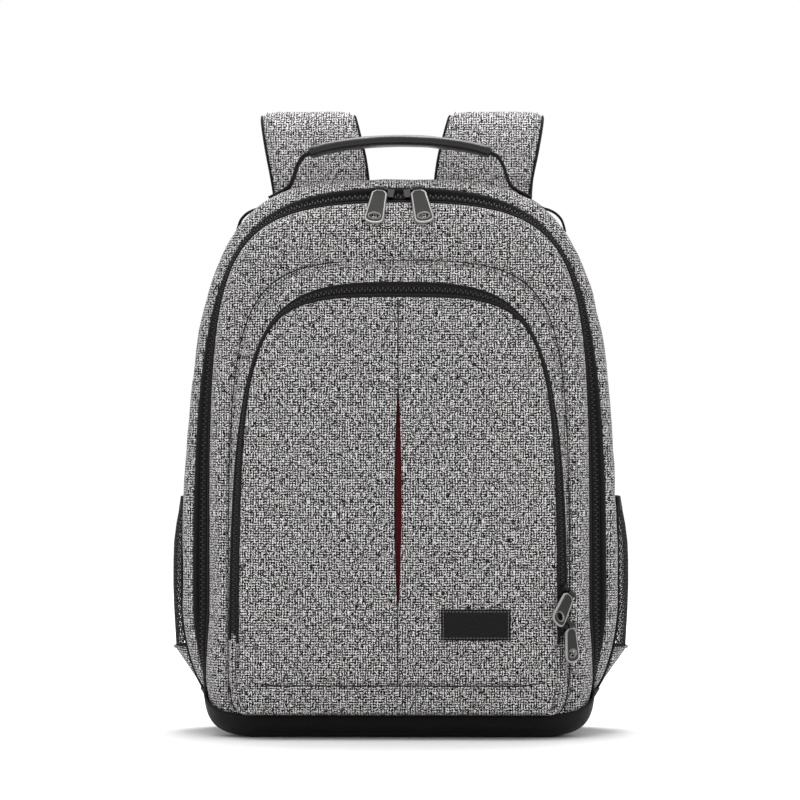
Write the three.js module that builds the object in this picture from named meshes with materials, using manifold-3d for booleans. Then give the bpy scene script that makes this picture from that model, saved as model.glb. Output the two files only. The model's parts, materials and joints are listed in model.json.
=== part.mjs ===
// Camera backpack: padded tub, lid, front pocket, straps, handle, zips and side pockets
// Millimetres, +Z up, +X right, the front of the bag faces -Y, the foot stands at Z = 0
import * as THREE from 'three';
import { mergeVertices } from 'three/addons/utils/BufferGeometryUtils.js';
import Module from 'manifold-3d';

const wasm = await Module();
wasm.setup();

// Driving sizes of the whole bag
const gap = 0.3;
const foot = 1.9;
const bootCloth = 1.6;
const bootSideHeight = 33;
const bootFrontHeight = 18;
const backY = 72;
const rimY = -20;
const lidRimY = -31;
const lidFaceY = -62;
const pocketFaceY = -90;
const lidLean = 0.04;
const pocketLean = 0.065;
const leanFrom = 60;
const gussetWall = 6;
const lidWall = 5;
const pocketWall = 2.2;

// Outlines in X and Z: half width, crown height, widest row, the two handles of the curve between,
// and the foot with its flat stretch and the handles of its corner
const bagHalf = 163.2;
const bagTop = 414.4;
const outlines = {
  body: {
    half: bagHalf, top: bagTop, widest: 99.7, side: 0.979, crown: 0.723,
    foot, flat: 105, drop: 0.54, turn: 0.55, spread: 0,
  },
  rim: {
    half: bagHalf - 8.4, top: bagTop - 6.4, widest: 100.6, side: 0.856, crown: 0.855,
    foot, flat: 104, drop: 0.54, turn: 0.58, spread: 0,
  },
  lid: {
    half: bagHalf - 22.2, top: bagTop - 18.8, widest: 89.2, side: 0.885, crown: 1.042,
    foot, flat: 100, drop: 0.884, turn: 1.12, spread: 6,
  },
  lidFace: {
    half: bagHalf - 36.2, top: bagTop - 48.4, widest: 80, side: 0.91, crown: 1.03,
    foot: foot + 9, flat: 96, drop: 0.8, turn: 1, spread: 3,
  },
  seam: {
    half: bagHalf - 39.3, top: bagTop - 64, widest: 60, side: 0.944, crown: 1.029,
    foot: foot + 16.5, flat: 112, drop: 0.5, turn: 0.9, spread: 0,
  },
  pocketZip: {
    half: bagHalf - 40.4, top: bagTop - 79.8, widest: 62, side: 0.95, crown: 0.814,
    foot: foot + 16.5, flat: 111, drop: 0.5, turn: 0.9, spread: 0,
  },
  face: {
    half: bagHalf - 46.1, top: bagTop - 89.2, widest: 56, side: 0.99, crown: 0.955,
    foot: foot + 17.5, flat: 107, drop: 0.5, turn: 0.9, spread: 0,
  },
};
const crownSteps = 11;
const cornerSteps = 5;

function mix(first, second, share) {
  const mixed = {};
  for (const key of Object.keys(first)) mixed[key] = first[key] + (second[key] - first[key]) * share;
  return mixed;
}

function inset(outline, depth) {
  return {
    ...outline,
    half: outline.half - depth,
    top: outline.top - depth,
    foot: outline.foot + depth,
    flat: outline.flat - depth * 0.5,
  };
}

function bezier(a, b, c, d, t) {
  const u = 1 - t;
  return a * u * u * u + 3 * b * u * u * t + 3 * c * u * t * t + d * t * t * t;
}

// Right half of the loop, from the middle of the foot up to the crown
function rightHalf(outline) {
  const { half, top, widest, side, crown, foot: low, flat, drop, turn, spread } = outline;
  const points = [[0, low], [flat, low]];
  const turnX = flat + (half - flat) * turn;
  const dropZ = widest - (widest - low) * drop;
  for (let step = 1; step <= cornerSteps; step += 1) {
    const t = step / cornerSteps;
    points.push([bezier(flat, turnX, half + spread, half, t), bezier(low, low, dropZ, widest, t)]);
  }
  const sideZ = widest + side * (top - widest);
  for (let step = 1; step <= crownSteps; step += 1) {
    const t = step / crownSteps;
    points.push([bezier(half, half, crown * half, 0, t), bezier(widest, sideZ, top, top, t)]);
  }
  return points;
}

function loopPoints(outline) {
  const right = rightHalf(outline);
  const left = right.slice(1, -1).reverse().map(([x, z]) => [-x, z]);
  return [...right, ...left];
}

function ring(outline, y) {
  return loopPoints(outline).map(([x, z]) => [x, y, z]);
}

// The lid leans back, and the pocket on it a little more
function lean([x, y, z]) {
  const lidShare = Math.min(1, Math.max(0, (lidRimY - y) / (lidRimY - lidFaceY)));
  const pocketShare = Math.min(1, Math.max(0, (lidFaceY - y) / (lidFaceY - pocketFaceY)));
  const push = lidLean * lidShare + (pocketLean - lidLean) * pocketShare;
  return [x, y + push * (z - leanFrom), z];
}

function solidFrom(positions, indices) {
  const geometry = new THREE.BufferGeometry();
  geometry.setAttribute('position', new THREE.Float32BufferAttribute(positions.flat(), 3));
  let volume = 0;
  for (let at = 0; at < indices.length; at += 3) {
    const [a, b, c] = [0, 1, 2].map((corner) => new THREE.Vector3(...positions[indices[at + corner]]));
    volume += a.dot(b.cross(c));
  }
  const turned = [];
  for (let at = 0; at < indices.length; at += 3) {
    if (volume < 0) turned.push(indices[at], indices[at + 2], indices[at + 1]);
    else turned.push(indices[at], indices[at + 1], indices[at + 2]);
  }
  geometry.setIndex(turned);
  return geometry;
}

// Skin over rings of equal count; ends closed to a middle point, or the last ring joined to the first
function skin(rings, closed = false) {
  const count = rings[0].length;
  const positions = rings.flat();
  const indices = [];
  const rows = closed ? rings.length : rings.length - 1;
  for (let row = 0; row < rows; row += 1) {
    const next = (row + 1) % rings.length;
    for (let at = 0; at < count; at += 1) {
      const side = (at + 1) % count;
      const [a, b] = [row * count + at, row * count + side];
      const [c, d] = [next * count + side, next * count + at];
      indices.push(a, b, c, a, c, d);
    }
  }
  if (!closed) {
    for (const [row, flip] of [[0, true], [rings.length - 1, false]]) {
      const middle = [0, 1, 2].map((axis) => rings[row].reduce((sum, point) => sum + point[axis], 0) / count);
      const centre = positions.length;
      positions.push(middle);
      for (let at = 0; at < count; at += 1) {
        const side = (at + 1) % count;
        if (flip) indices.push(centre, row * count + side, row * count + at);
        else indices.push(centre, row * count + at, row * count + side);
      }
    }
  }
  return solidFrom(positions, indices);
}

// Closed sheet between two grids of equal size
function sheet(outer, inner) {
  const rows = outer.length;
  const columns = outer[0].length;
  const positions = [...outer.flat(), ...inner.flat()];
  const shift = rows * columns;
  const indices = [];
  const quad = (a, b, c, d) => indices.push(a, b, c, a, c, d);
  for (let row = 0; row < rows - 1; row += 1) {
    for (let column = 0; column < columns - 1; column += 1) {
      const a = row * columns + column;
      quad(a, a + 1, a + columns + 1, a + columns);
      quad(shift + a, shift + a + columns, shift + a + columns + 1, shift + a + 1);
    }
  }
  for (let column = 0; column < columns - 1; column += 1) {
    const last = (rows - 1) * columns + column;
    quad(column, shift + column, shift + column + 1, column + 1);
    quad(last, last + 1, shift + last + 1, shift + last);
  }
  for (let row = 0; row < rows - 1; row += 1) {
    const a = row * columns;
    const b = a + columns - 1;
    quad(a, a + columns, shift + a + columns, shift + a);
    quad(b, shift + b, shift + b + columns, b + columns);
  }
  return solidFrom(positions, indices);
}

function toManifold(geometry) {
  const bare = geometry.clone();
  bare.deleteAttribute('normal');
  bare.deleteAttribute('uv');
  const welded = mergeVertices(bare, 1e-4);
  return new wasm.Manifold(new wasm.Mesh({
    numProp: 3,
    vertProperties: new Float32Array(welded.attributes.position.array),
    triVerts: new Uint32Array(welded.index.array),
  }));
}

function fromManifold(solid) {
  const mesh = solid.getMesh();
  const geometry = new THREE.BufferGeometry();
  const points = [];
  for (let at = 0; at < mesh.vertProperties.length; at += mesh.numProp) {
    points.push(mesh.vertProperties[at], mesh.vertProperties[at + 1], mesh.vertProperties[at + 2]);
  }
  geometry.setAttribute('position', new THREE.Float32BufferAttribute(points, 3));
  geometry.setIndex(Array.from(mesh.triVerts));
  return geometry;
}

function block(x0, x1, y0, y1, z0, z1) {
  const geometry = new THREE.BoxGeometry(x1 - x0, y1 - y0, z1 - z0);
  geometry.translate((x0 + x1) / 2, (y0 + y1) / 2, (z0 + z1) / 2);
  return toManifold(geometry);
}

// Materials
const materials = {
  greyCloth: new THREE.MeshStandardMaterial({ color: 0x8f8c8c, roughness: 0.95 }),
  blackCloth: new THREE.MeshStandardMaterial({ color: 0x1c1b1c, roughness: 0.8 }),
  bootCloth: new THREE.MeshStandardMaterial({ color: 0x161616, roughness: 0.6 }),
  redCloth: new THREE.MeshStandardMaterial({ color: 0x4a0d12, roughness: 0.9 }),
  metal: new THREE.MeshStandardMaterial({ color: 0x55534f, roughness: 0.35, metalness: 0.9 }),
  plastic: new THREE.MeshStandardMaterial({ color: 0x151515, roughness: 0.5 }),
};

const bag = new THREE.Group();
bag.name = 'camera_backpack';

function add(name, geometry, material) {
  const finished = geometry.index ? geometry : mergeVertices(geometry);
  finished.computeVertexNormals();
  const mesh = new THREE.Mesh(finished, materials[material]);
  mesh.name = name;
  bag.add(mesh);
}

// Tub: wall sections from the front rim back to the panel that lies on the wearer
const tubSections = [
  { y: -20, share: 0, depth: 0 },
  { y: -17, share: 0.45, depth: 0 },
  { y: -9, share: 0.88, depth: 0 },
  { y: 4, share: 1, depth: 0 },
  { y: 30, share: 1, depth: 1.2 },
  { y: 52, share: 1, depth: 0.2 },
  { y: 63, share: 1, depth: 2 },
  { y: 69.5, share: 1, depth: 6 },
  { y: backY, share: 1, depth: 14 },
];
const tubInside = [
  { y: 64, share: 1, depth: 24 },
  { y: 61, share: 1, depth: 11 },
  { y: 50, share: 1, depth: gussetWall },
  { y: 4, share: 1, depth: gussetWall },
  { y: -9, share: 0.88, depth: gussetWall },
  { y: -20, share: 0, depth: gussetWall - 1 },
];

function tubOutline({ y, share, depth }) {
  const outline = inset(mix(outlines.rim, outlines.body, share), depth);
  const standing = y > -45 && y < 60 && depth < 2;
  return standing ? { ...outline, foot } : outline;
}

const tubRings = [
  ...[...tubSections].reverse().map((section) => ring(tubOutline(section), section.y)),
  ...[...tubInside].reverse().map((section) => ring(tubOutline(section), section.y)),
];
add('rear_shell', skin(tubRings), 'greyCloth');

// Lid: from the rim at the zip round to the flat face that carries the pocket
const lidSections = [
  { y: lidRimY, share: 0, depth: 0 },
  { y: -37, share: 0.02, depth: 0 },
  { y: -46, share: 0.16, depth: 0 },
  { y: -54, share: 0.42, depth: 0 },
  { y: -59.5, share: 0.74, depth: 0 },
  { y: lidFaceY, share: 1, depth: 0 },
];
const lidInside = [
  { y: lidFaceY + lidWall, share: 1, depth: 3 },
  { y: -52, share: 0.5, depth: lidWall },
  { y: -44, share: 0.16, depth: lidWall },
  { y: lidRimY, share: 0, depth: lidWall },
];

function lidOutline({ share, depth }) {
  const outline = mix(outlines.lid, outlines.lidFace, share);
  const rise = Math.max(0, (share - 0.16) / 0.84) ** 1.6 * (outlines.lidFace.foot - foot);
  return inset({ ...outline, foot: foot + rise }, depth);
}

const lidRings = [
  ...[...lidSections].reverse().map((section) => ring(lidOutline(section), section.y)),
  ...[...lidInside].reverse().map((section) => ring(lidOutline(section), section.y)),
].map((points) => points.map(lean));
add('front_lid', skin(lidRings), 'greyCloth');

// Base tray: the form of the foot, set out by the cloth, less the form itself
function bagForm(outset) {
  const back = [...tubSections].reverse().map((section) => ({
    y: section.y + (section.y > 60 ? outset : 0),
    outline: inset(tubOutline(section), -outset),
  }));
  const front = lidSections.map((section) => ({
    y: section.y - (section.y < -50 ? outset : 0),
    outline: inset(lidOutline(section), -outset),
  }));
  return toManifold(skin([...back, ...front].map(({ y, outline }) => ring(outline, y).map(lean))));
}

// Side view of the tray: level along the sides, then down to the strip below the pocket
const past = 60;
const traySide = new THREE.Shape();
traySide.moveTo(-backY - past, -past);
traySide.lineTo(-backY - past, bootSideHeight);
traySide.lineTo(-lidRimY, bootSideHeight);
traySide.lineTo(-lidFaceY - 2, bootFrontHeight);
traySide.lineTo(-pocketFaceY + past, bootFrontHeight);
traySide.lineTo(-pocketFaceY + past, -past);
traySide.closePath();
const trayTrim = new THREE.ExtrudeGeometry(traySide, { depth: 2 * (bagHalf + past), bevelEnabled: false });
trayTrim.rotateX(Math.PI / 2);
trayTrim.rotateZ(-Math.PI / 2);
trayTrim.translate(bagHalf + past, 0, 0);
const bootShell = bagForm(gap + bootCloth).subtract(bagForm(gap));
add('boot', fromManifold(bootShell.intersect(toManifold(trayTrim))), 'bootCloth');

// Main zip: tape between the two rims, its ends inside the base tray
function arch(outline, low) {
  const points = loopPoints(outline);
  return points.slice(low, points.length - low + 1);
}

const zipTape = 1.6;
const mainArchLow = 3;
const tapeBack = arch(outlines.rim, mainArchLow);
const tapeFront = arch(outlines.lid, mainArchLow);
const tapeBackInside = arch(inset(outlines.rim, zipTape), mainArchLow);
const tapeFrontInside = arch(inset(outlines.lid, zipTape), mainArchLow);
const atY = (points, y) => points.map(([x, z]) => [x, y, z]);
add('main_zip', sheet(
  [atY(tapeBack, rimY - gap), atY(tapeFront, lidRimY + gap)],
  [atY(tapeBackInside, rimY - gap), atY(tapeFrontInside, lidRimY + gap)],
), 'blackCloth');

// Front pocket: gusset, the ledge under its zip, and the flat face with the slit
const seatY = lidFaceY - gap;
const ledgeBackY = -79;
const ledgeFrontY = -85.5;
const pocketSections = [
  { y: seatY, from: 'seam', to: 'pocketZip', share: 0, depth: 0 },
  { y: -71, from: 'seam', to: 'pocketZip', share: 0.4, depth: -0.4 },
  { y: ledgeBackY, from: 'seam', to: 'pocketZip', share: 1, depth: 0 },
  { y: ledgeFrontY, from: 'face', to: 'face', share: 0, depth: 0 },
  { y: -88.8, from: 'face', to: 'face', share: 0, depth: 4 },
  { y: pocketFaceY, from: 'face', to: 'face', share: 0, depth: 11 },
];
const pocketInside = [
  { y: pocketFaceY + pocketWall, from: 'face', to: 'face', share: 0, depth: 10 },
  { y: -84.5, from: 'face', to: 'face', share: 0, depth: pocketWall + 1 },
  { y: -78.5, from: 'seam', to: 'pocketZip', share: 1, depth: pocketWall + 0.6 },
  { y: -70, from: 'seam', to: 'pocketZip', share: 0.4, depth: pocketWall },
  { y: seatY, from: 'seam', to: 'pocketZip', share: 0, depth: pocketWall },
];

function pocketRing({ y, from, to, share, depth }) {
  return ring(inset(mix(outlines[from], outlines[to], share), depth), y).map(lean);
}

const pocketSolid = toManifold(skin([
  ...[...pocketSections].reverse().map(pocketRing),
  ...[...pocketInside].reverse().map(pocketRing),
]));
const slitLow = 87;
const slitTop = 265;
const slitWidth = 5.4;
const slitTipHalf = 0.15;
const slitSteps = 9;
const slitEdge = Array.from({ length: slitSteps + 1 }, (_, step) => {
  const t = step / slitSteps;
  const half = slitTipHalf + slitWidth / 2 * Math.sin(Math.PI * t) ** 0.8;
  return new THREE.Vector2(half, slitLow + (slitTop - slitLow) * t);
});
const slitOtherEdge = slitEdge.map(({ x, y }) => new THREE.Vector2(-x, y)).reverse();
const slitShape = new THREE.Shape([...slitEdge, ...slitOtherEdge]);
const slitCut = new THREE.ExtrudeGeometry(slitShape, { depth: 60, bevelEnabled: false });
slitCut.rotateX(Math.PI / 2);
slitCut.translate(0, seatY + 20, 0);
add('pocket_shell', fromManifold(pocketSolid.subtract(toManifold(slitCut))), 'greyCloth');

// Cloth behind the slit
function leaningSheet({ left, right, low, high }, frontY, thick) {
  const grid = (y) => [low, high].map((z) => [left, right].map((x) => lean([x, y, z])));
  return sheet(grid(frontY), grid(frontY + thick));
}

const panel = { left: -9, right: 9, low: slitLow - 8, high: slitTop + 8 };
const panelThick = 1.2;
add('slit_panel', leaningSheet(panel, pocketFaceY + pocketWall + gap, panelThick), 'redCloth');

// Bare label on the pocket
const label = { left: 31.5, right: 82.5, low: 73.4, high: 96 };
const labelThick = 1.2;
add('label', leaningSheet(label, pocketFaceY - gap - labelThick, labelThick), 'blackCloth');

// Pocket zip: tape over the ledge between gusset and face
const pocketArchLow = 5;
const pocketZipLow = 72;
const ledgeLift = 0.35;
const pocketTape = 1.3;
const slope = Math.SQRT1_2;
function ledge(lift) {
  const outer = arch(inset(outlines.pocketZip, -lift * slope), pocketArchLow);
  const inner = arch(inset(outlines.face, -lift * slope), pocketArchLow);
  return [
    inner.map(([x, z]) => lean([x, ledgeFrontY - lift * slope, z])),
    outer.map(([x, z]) => lean([x, ledgeBackY - lift * slope, z])),
  ];
}
const pocketBand = toManifold(sheet(ledge(ledgeLift + pocketTape), ledge(ledgeLift)));
add('pocket_zip', fromManifold(pocketBand.trimByPlane([0, 0, 1], pocketZipLow)), 'blackCloth');

// Strips along a path: stations with a middle point, the way across and the way up
function strip(stations, width, thick) {
  const rows = (lift) => stations.map(({ at, across, up }) => [-width / 2, width / 2].map(
    (shift) => [0, 1, 2].map((axis) => at[axis] + across[axis] * shift + up[axis] * lift),
  ));
  return sheet(rows(thick / 2), rows(-thick / 2));
}

// Share from 0 to 1 at which a test that starts false turns true
function shareWhere(reached) {
  let low = 0;
  let high = 1;
  for (let pass = 0; pass < 40; pass += 1) {
    const middle = (low + high) / 2;
    if (reached(middle)) high = middle;
    else low = middle;
  }
  return (low + high) / 2;
}

// Height and outward way of the body outline at a given X near the crown
function crownAt(x, lift) {
  const { half, top, widest, side, crown } = outlines.body;
  const sideZ = widest + side * (top - widest);
  const across = (t) => bezier(half, half, crown * half, 0, t);
  const height = (t) => bezier(widest, sideZ, top, top, t);
  const t = shareWhere((share) => across(share) < Math.abs(x));
  const nearby = 0.01;
  const run = [across(t + nearby) - across(t - nearby), height(t + nearby) - height(t - nearby)];
  const length = Math.hypot(run[0], run[1]);
  const normal = [run[1] / length, -run[0] / length];
  const way = Math.sign(x) || 1;
  return {
    point: [way * (Math.abs(x) + normal[0] * lift), height(t) + normal[1] * lift],
    normal: [way * normal[0], normal[1]],
  };
}

// Carry handle: webbing from one shoulder over to the other, with a round wrap in the middle
const handleY = 13;
const webbingThick = 2.4;
const webbingWidth = 25;
const gripHalf = 68;
const gripTop = 444;
const gripEnd = 434.5;
// Ends of the webbing that lie on the bag, and its rise to the wrap, each out from the wrap's end
const handleFeet = [
  { out: 30, lift: 1.5 },
  { out: 24, lift: 1.55 },
  { out: 18.8, lift: 2.1 },
];
const handleRise = [
  { out: 15.1, below: 24.1 },
  { out: 12.2, below: 17.5 },
  { out: 9.4, below: 9.1 },
  { out: 5.2, below: 2.5 },
];
const gripSteps = 8;
const gripStations = Array.from({ length: gripSteps + 1 }, (_, step) => {
  const x = -gripHalf + 2 * gripHalf * step / gripSteps;
  return [x, gripEnd + (gripTop - gripEnd) * (1 - (x / gripHalf) ** 2) ** 0.8];
});
const handleEnd = [
  ...handleFeet.map(({ out, lift }) => crownAt(-gripHalf - out, lift).point),
  ...handleRise.map(({ out, below }) => [-gripHalf - out, gripEnd - below]),
];
const handlePath = [...handleEnd, ...gripStations, ...handleEnd.map(([x, z]) => [-x, z]).reverse()];

function pathFrame(path, at) {
  const before = path[Math.max(0, at - 1)];
  const after = path[Math.min(path.length - 1, at + 1)];
  const length = Math.hypot(after[0] - before[0], after[1] - before[1]);
  return [(after[0] - before[0]) / length, (after[1] - before[1]) / length];
}

const handleStations = handlePath.map((point, at) => {
  const [runX, runZ] = pathFrame(handlePath, at);
  return { at: [point[0], handleY, point[1]], across: [0, 1, 0], up: [-runZ, 0, runX] };
});
add('handle_webbing', strip(handleStations, webbingWidth, webbingThick), 'blackCloth');

const gripHigh = 8.4;
const gripDeep = 31;
const gripCorners = 12;
const wrapRoom = { high: 2.2, deep: 3.2 };
function gripRing(index, high, deep) {
  const [runX, runZ] = pathFrame(gripStations, index);
  const [x, z] = gripStations[index];
  return Array.from({ length: gripCorners }, (_, corner) => {
    const angle = 2 * Math.PI * (corner + 0.5) / gripCorners;
    const sine = Math.sign(Math.sin(angle)) * Math.abs(Math.sin(angle)) ** 0.6;
    const cosine = Math.sign(Math.cos(angle)) * Math.abs(Math.cos(angle)) ** 0.6;
    return [x - runZ * sine * high / 2, handleY + cosine * deep / 2, z + runX * sine * high / 2];
  });
}
const gripOuter = gripStations.map((_, index) => gripRing(index, gripHigh, gripDeep));
const gripInner = gripStations.map(
  (_, index) => gripRing(index, webbingThick + wrapRoom.high, webbingWidth + wrapRoom.deep),
);
add('handle_grip', skin([...gripOuter, ...gripInner.reverse()], true), 'blackCloth');

// Shoulder straps: padded, up from the back panel, over and down behind
const strapTop = 466;
const strapBackY = 126.5;
const strapEndX = bagHalf - 54.2;
const strapPath = [
  { y: backY + 6, z: strapTop - 104, x: 58, wide: 0.9, thick: 0.8 },
  { y: backY + 6, z: strapTop - 74, x: 59.5, wide: 0.98, thick: 1 },
  { y: backY + 7.5, z: strapTop - 42, x: 63.5, wide: 1.01, thick: 1 },
  { y: backY + 12, z: strapTop - 19, x: 68.4, wide: 1, thick: 1 },
  { y: backY + 20.5, z: strapTop - 5, x: 71.4, wide: 0.99, thick: 1 },
  { y: backY + 31, z: strapTop, x: 72.6, wide: 0.98, thick: 1 },
  { y: strapBackY - 13, z: strapTop - 5, x: 72, wide: 0.98, thick: 1 },
  { y: strapBackY - 5.5, z: strapTop - 20, x: 69.2, wide: 0.98, thick: 1 },
  { y: strapBackY - 1.5, z: strapTop - 46, x: 64.4, wide: 0.98, thick: 1 },
  { y: strapBackY, z: strapTop - 86, x: 63.5, wide: 0.98, thick: 1.05 },
  { y: strapBackY - 1.5, z: strapTop - 136, x: 69.5, wide: 0.98, thick: 1.1 },
  { y: strapBackY - 6, z: strapTop - 191, x: strapEndX - 28.5, wide: 0.97, thick: 1.1 },
  { y: strapBackY - 13, z: strapTop - 246, x: strapEndX - 16, wide: 0.92, thick: 1.05 },
  { y: strapBackY - 21, z: strapTop - 296, x: strapEndX - 6, wide: 0.84, thick: 1 },
  { y: strapBackY - 28, z: strapTop - 334, x: strapEndX, wide: 0.69, thick: 0.85 },
];
const strapStations = 25;
const strapPlaces = strapPath.map(({ x, y, z }) => new THREE.Vector3(x, y, z));
const strapScales = strapPath.map(({ wide, thick }, at) => new THREE.Vector3(wide, thick, at));
const strapCurve = new THREE.CatmullRomCurve3(strapPlaces, false, 'centripetal');
const strapSizes = new THREE.CatmullRomCurve3(strapScales, false, 'catmullrom');
const strapWidth = 74;
const strapThick = 11;
const strapShape = [
  [-0.5, 0], [-0.485, 0.3], [-0.4, 0.46], [0, 0.5], [0.4, 0.46], [0.485, 0.3],
  [0.5, 0], [0.485, -0.3], [0.4, -0.46], [0, -0.5], [-0.4, -0.46], [-0.485, -0.3],
];

function unit(vector) {
  const length = Math.hypot(...vector);
  return vector.map((value) => value / length);
}

function cross(a, b) {
  return [a[1] * b[2] - a[2] * b[1], a[2] * b[0] - a[0] * b[2], a[0] * b[1] - a[1] * b[0]];
}

function strapRings(side) {
  return Array.from({ length: strapStations }, (_, at) => {
    const t = at / (strapStations - 1);
    const middle = strapCurve.getPoint(t);
    const sizes = strapSizes.getPoint(t);
    const way = strapCurve.getTangent(t);
    const run = unit([side * way.x, way.y, way.z]);
    const across = unit(cross(run, cross([1, 0, 0], run)));
    const up = unit(cross(across, run));
    const centre = [side * middle.x, middle.y, middle.z];
    return strapShape.map(([wide, thick]) => [0, 1, 2].map((axis) => centre[axis]
      + across[axis] * wide * strapWidth * sizes.x
      + up[axis] * thick * strapThick * sizes.y));
  });
}

// Lower webbing and the plain ladder buckle at the end of each strap
const lowerPath = [
  { y: strapBackY - 32.1, z: strapTop - 338, x: strapEndX + 0.6 },
  { y: strapBackY - 35.9, z: strapTop - 359, x: strapEndX + 3.6 },
  { y: backY + 12.4, z: 82, x: strapEndX + 7.6 },
  { y: backY + 5.6, z: 61, x: strapEndX + 10.8 },
  { y: backY + 2.3, z: 51, x: strapEndX + 12.3 },
  { y: backY + 1.3, z: 44, x: strapEndX + 13.2 },
  { y: backY + 1.3, z: 36, x: strapEndX + 14.2 },
];
const lowerThick = 1.8;
const buckle = { half: 18, low: -13, high: 13, corner: 1, thick: 4, slotHalf: 13.5 };
const buckleSlots = [
  { low: -9.5, high: -3 },
  { low: 2, high: 8.5 },
];
const buckleDrop = buckle.high + 0.9;

function buckleSolid() {
  const { half, low, high, corner, thick, slotHalf } = buckle;
  const corners = [
    [-half + corner, low], [half - corner, low], [half, low + corner], [half, high - corner],
    [half - corner, high], [-half + corner, high], [-half, high - corner], [-half, low + corner],
  ];
  const frame = new THREE.Shape(corners.map(([x, y]) => new THREE.Vector2(x, y)));
  for (const slot of buckleSlots) {
    const edge = [[-slotHalf, slot.low], [-slotHalf, slot.high], [slotHalf, slot.high], [slotHalf, slot.low]];
    frame.holes.push(new THREE.Path(edge.map(([x, y]) => new THREE.Vector2(x, y))));
  }
  const solid = new THREE.ExtrudeGeometry(frame, { depth: thick, bevelEnabled: false });
  solid.translate(0, 0, -thick / 2);
  return solid;
}

for (const [name, side] of [['left', -1], ['right', 1]]) {
  add(`strap_${name}`, skin(strapRings(side)), 'greyCloth');
  const stations = lowerPath.map((station, at) => {
    const before = lowerPath[Math.max(0, at - 1)];
    const after = lowerPath[Math.min(lowerPath.length - 1, at + 1)];
    const run = unit([side * (after.x - before.x), after.y - before.y, after.z - before.z]);
    const across = unit(cross(run, cross([1, 0, 0], run)));
    return { at: [side * station.x, station.y, station.z], across, up: unit(cross(across, run)) };
  });
  add(`lower_webbing_${name}`, strip(stations, webbingWidth, lowerThick), 'blackCloth');

  const run = unit([side * 6, -7, -38]);
  const across = unit(cross(run, cross([1, 0, 0], run)));
  const place = new THREE.Matrix4().makeBasis(
    new THREE.Vector3(...across),
    new THREE.Vector3(...run).negate(),
    new THREE.Vector3(...cross(across, run.map((value) => -value))),
  );
  const strapEnd = strapPath[strapPath.length - 1];
  const seat = [side * strapEnd.x, strapEnd.y, strapEnd.z];
  place.setPosition(...[0, 1, 2].map((axis) => seat[axis] + run[axis] * buckleDrop));
  add(`buckle_${name}`, buckleSolid().applyMatrix4(place), 'plastic');
}

// Side pockets: net above, grey cloth below, both standing off the wall of the tub
function wallAt(z) {
  const { half, top, widest, side, crown, foot: low, flat, drop, turn } = outlines.body;
  const upper = z >= widest;
  const [z0, z1, z2, z3] = upper
    ? [widest, widest + side * (top - widest), top, top]
    : [low, low, widest - (widest - low) * drop, widest];
  const t = shareWhere((share) => bezier(z0, z1, z2, z3, share) > z);
  return upper
    ? bezier(half, half, crown * half, 0, t)
    : bezier(flat, flat + (half - flat) * turn, half, half, t);
}

const netFront = 3;
const netBack = 61;
const netCloth = 1.3;
const netRows = [
  { z: 63.2, stand: 7.0 },
  { z: 76, stand: 7.7 },
  { z: 92, stand: 8.6 },
  { z: 110, stand: 9.2 },
  { z: 128, stand: 9.1 },
  { z: 142, stand: 8.6 },
  { z: 156, stand: 7.6 },
  { z: 168, stand: 6.4 },
  { z: 176, stand: 5.2 },
].map(({ z, stand }) => ({ z, half: bagHalf + stand }));
const footRows = [
  { z: bootSideHeight + 1, stand: -13.6 },
  { z: 44, stand: -6 },
  { z: 54, stand: 1.4 },
  { z: 60, stand: 5.6 },
  { z: 62.9, stand: 7.6 },
].map(({ z, stand }) => ({ z, half: bagHalf + stand }));

function sidePocket(side, rows, cloth) {
  const columns = 9;
  const wallRoom = gap + 0.15;
  const grid = (thick) => rows.map(({ z, half }) => Array.from({ length: columns }, (_, column) => {
    const t = column / (columns - 1);
    const wall = wallAt(z) + wallRoom;
    const reach = Math.max(0, half - cloth - wall);
    const x = wall + reach * Math.sin(Math.PI * t) ** 0.55 + thick;
    return [side * x, netFront + (netBack - netFront) * t, z];
  }));
  return sheet(grid(cloth), grid(0));
}

for (const [name, side] of [['left', -1], ['right', 1]]) {
  add(`mesh_pocket_${name}`, sidePocket(side, netRows, netCloth), 'blackCloth');
  add(`pocket_foot_${name}`, sidePocket(side, footRows, netCloth), 'greyCloth');
}

// Webbing on each shoulder with a folded loop at its lower end
const sideStations = [
  { inward: 74.2, lift: 0.35 },
  { inward: 68.2, lift: 0.35 },
  { inward: 62.2, lift: 0.35 },
  { inward: 56.7, lift: 0.4 },
  { inward: 53.2, lift: 2.2 },
  { inward: 49.2, lift: 3.8 },
  { inward: 45.2, lift: 3.8 },
  { inward: 42.2, lift: 2.2 },
  { inward: 39.7, lift: 0.4 },
];
const sideThick = 1.6;
const sideWidth = 18;
const sideY = 50;
for (const [name, side] of [['left', -1], ['right', 1]]) {
  const stations = sideStations.map(({ inward, lift }) => {
    const { point, normal } = crownAt(side * (bagHalf - inward), lift + sideThick / 2 + gap);
    return { at: [point[0], sideY, point[1]], across: [0, 1, 0], up: [normal[0], 0, normal[1]] };
  });
  add(`side_webbing_${name}`, strip(stations, sideWidth, sideThick), 'blackCloth');
}

// Zip slider: a plate on the tape, two posts and a round bar; the tab hangs on the bar by its knuckle
const barRadius = 0.9;
const barLift = 3.4;
const barHalf = 4.2;
const plateThick = 2.4;
const postHalf = 1;
const knuckleInside = 1.3;
const knuckleOutside = 2.3;
const knuckleHalf = 3;
const tab = { topHalf: 5.5, lowHalf: 7, thick: 1.6, round: 5, shoulder: 2.5, holeUp: 6.6, holeHigh: 2.9 };

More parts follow.
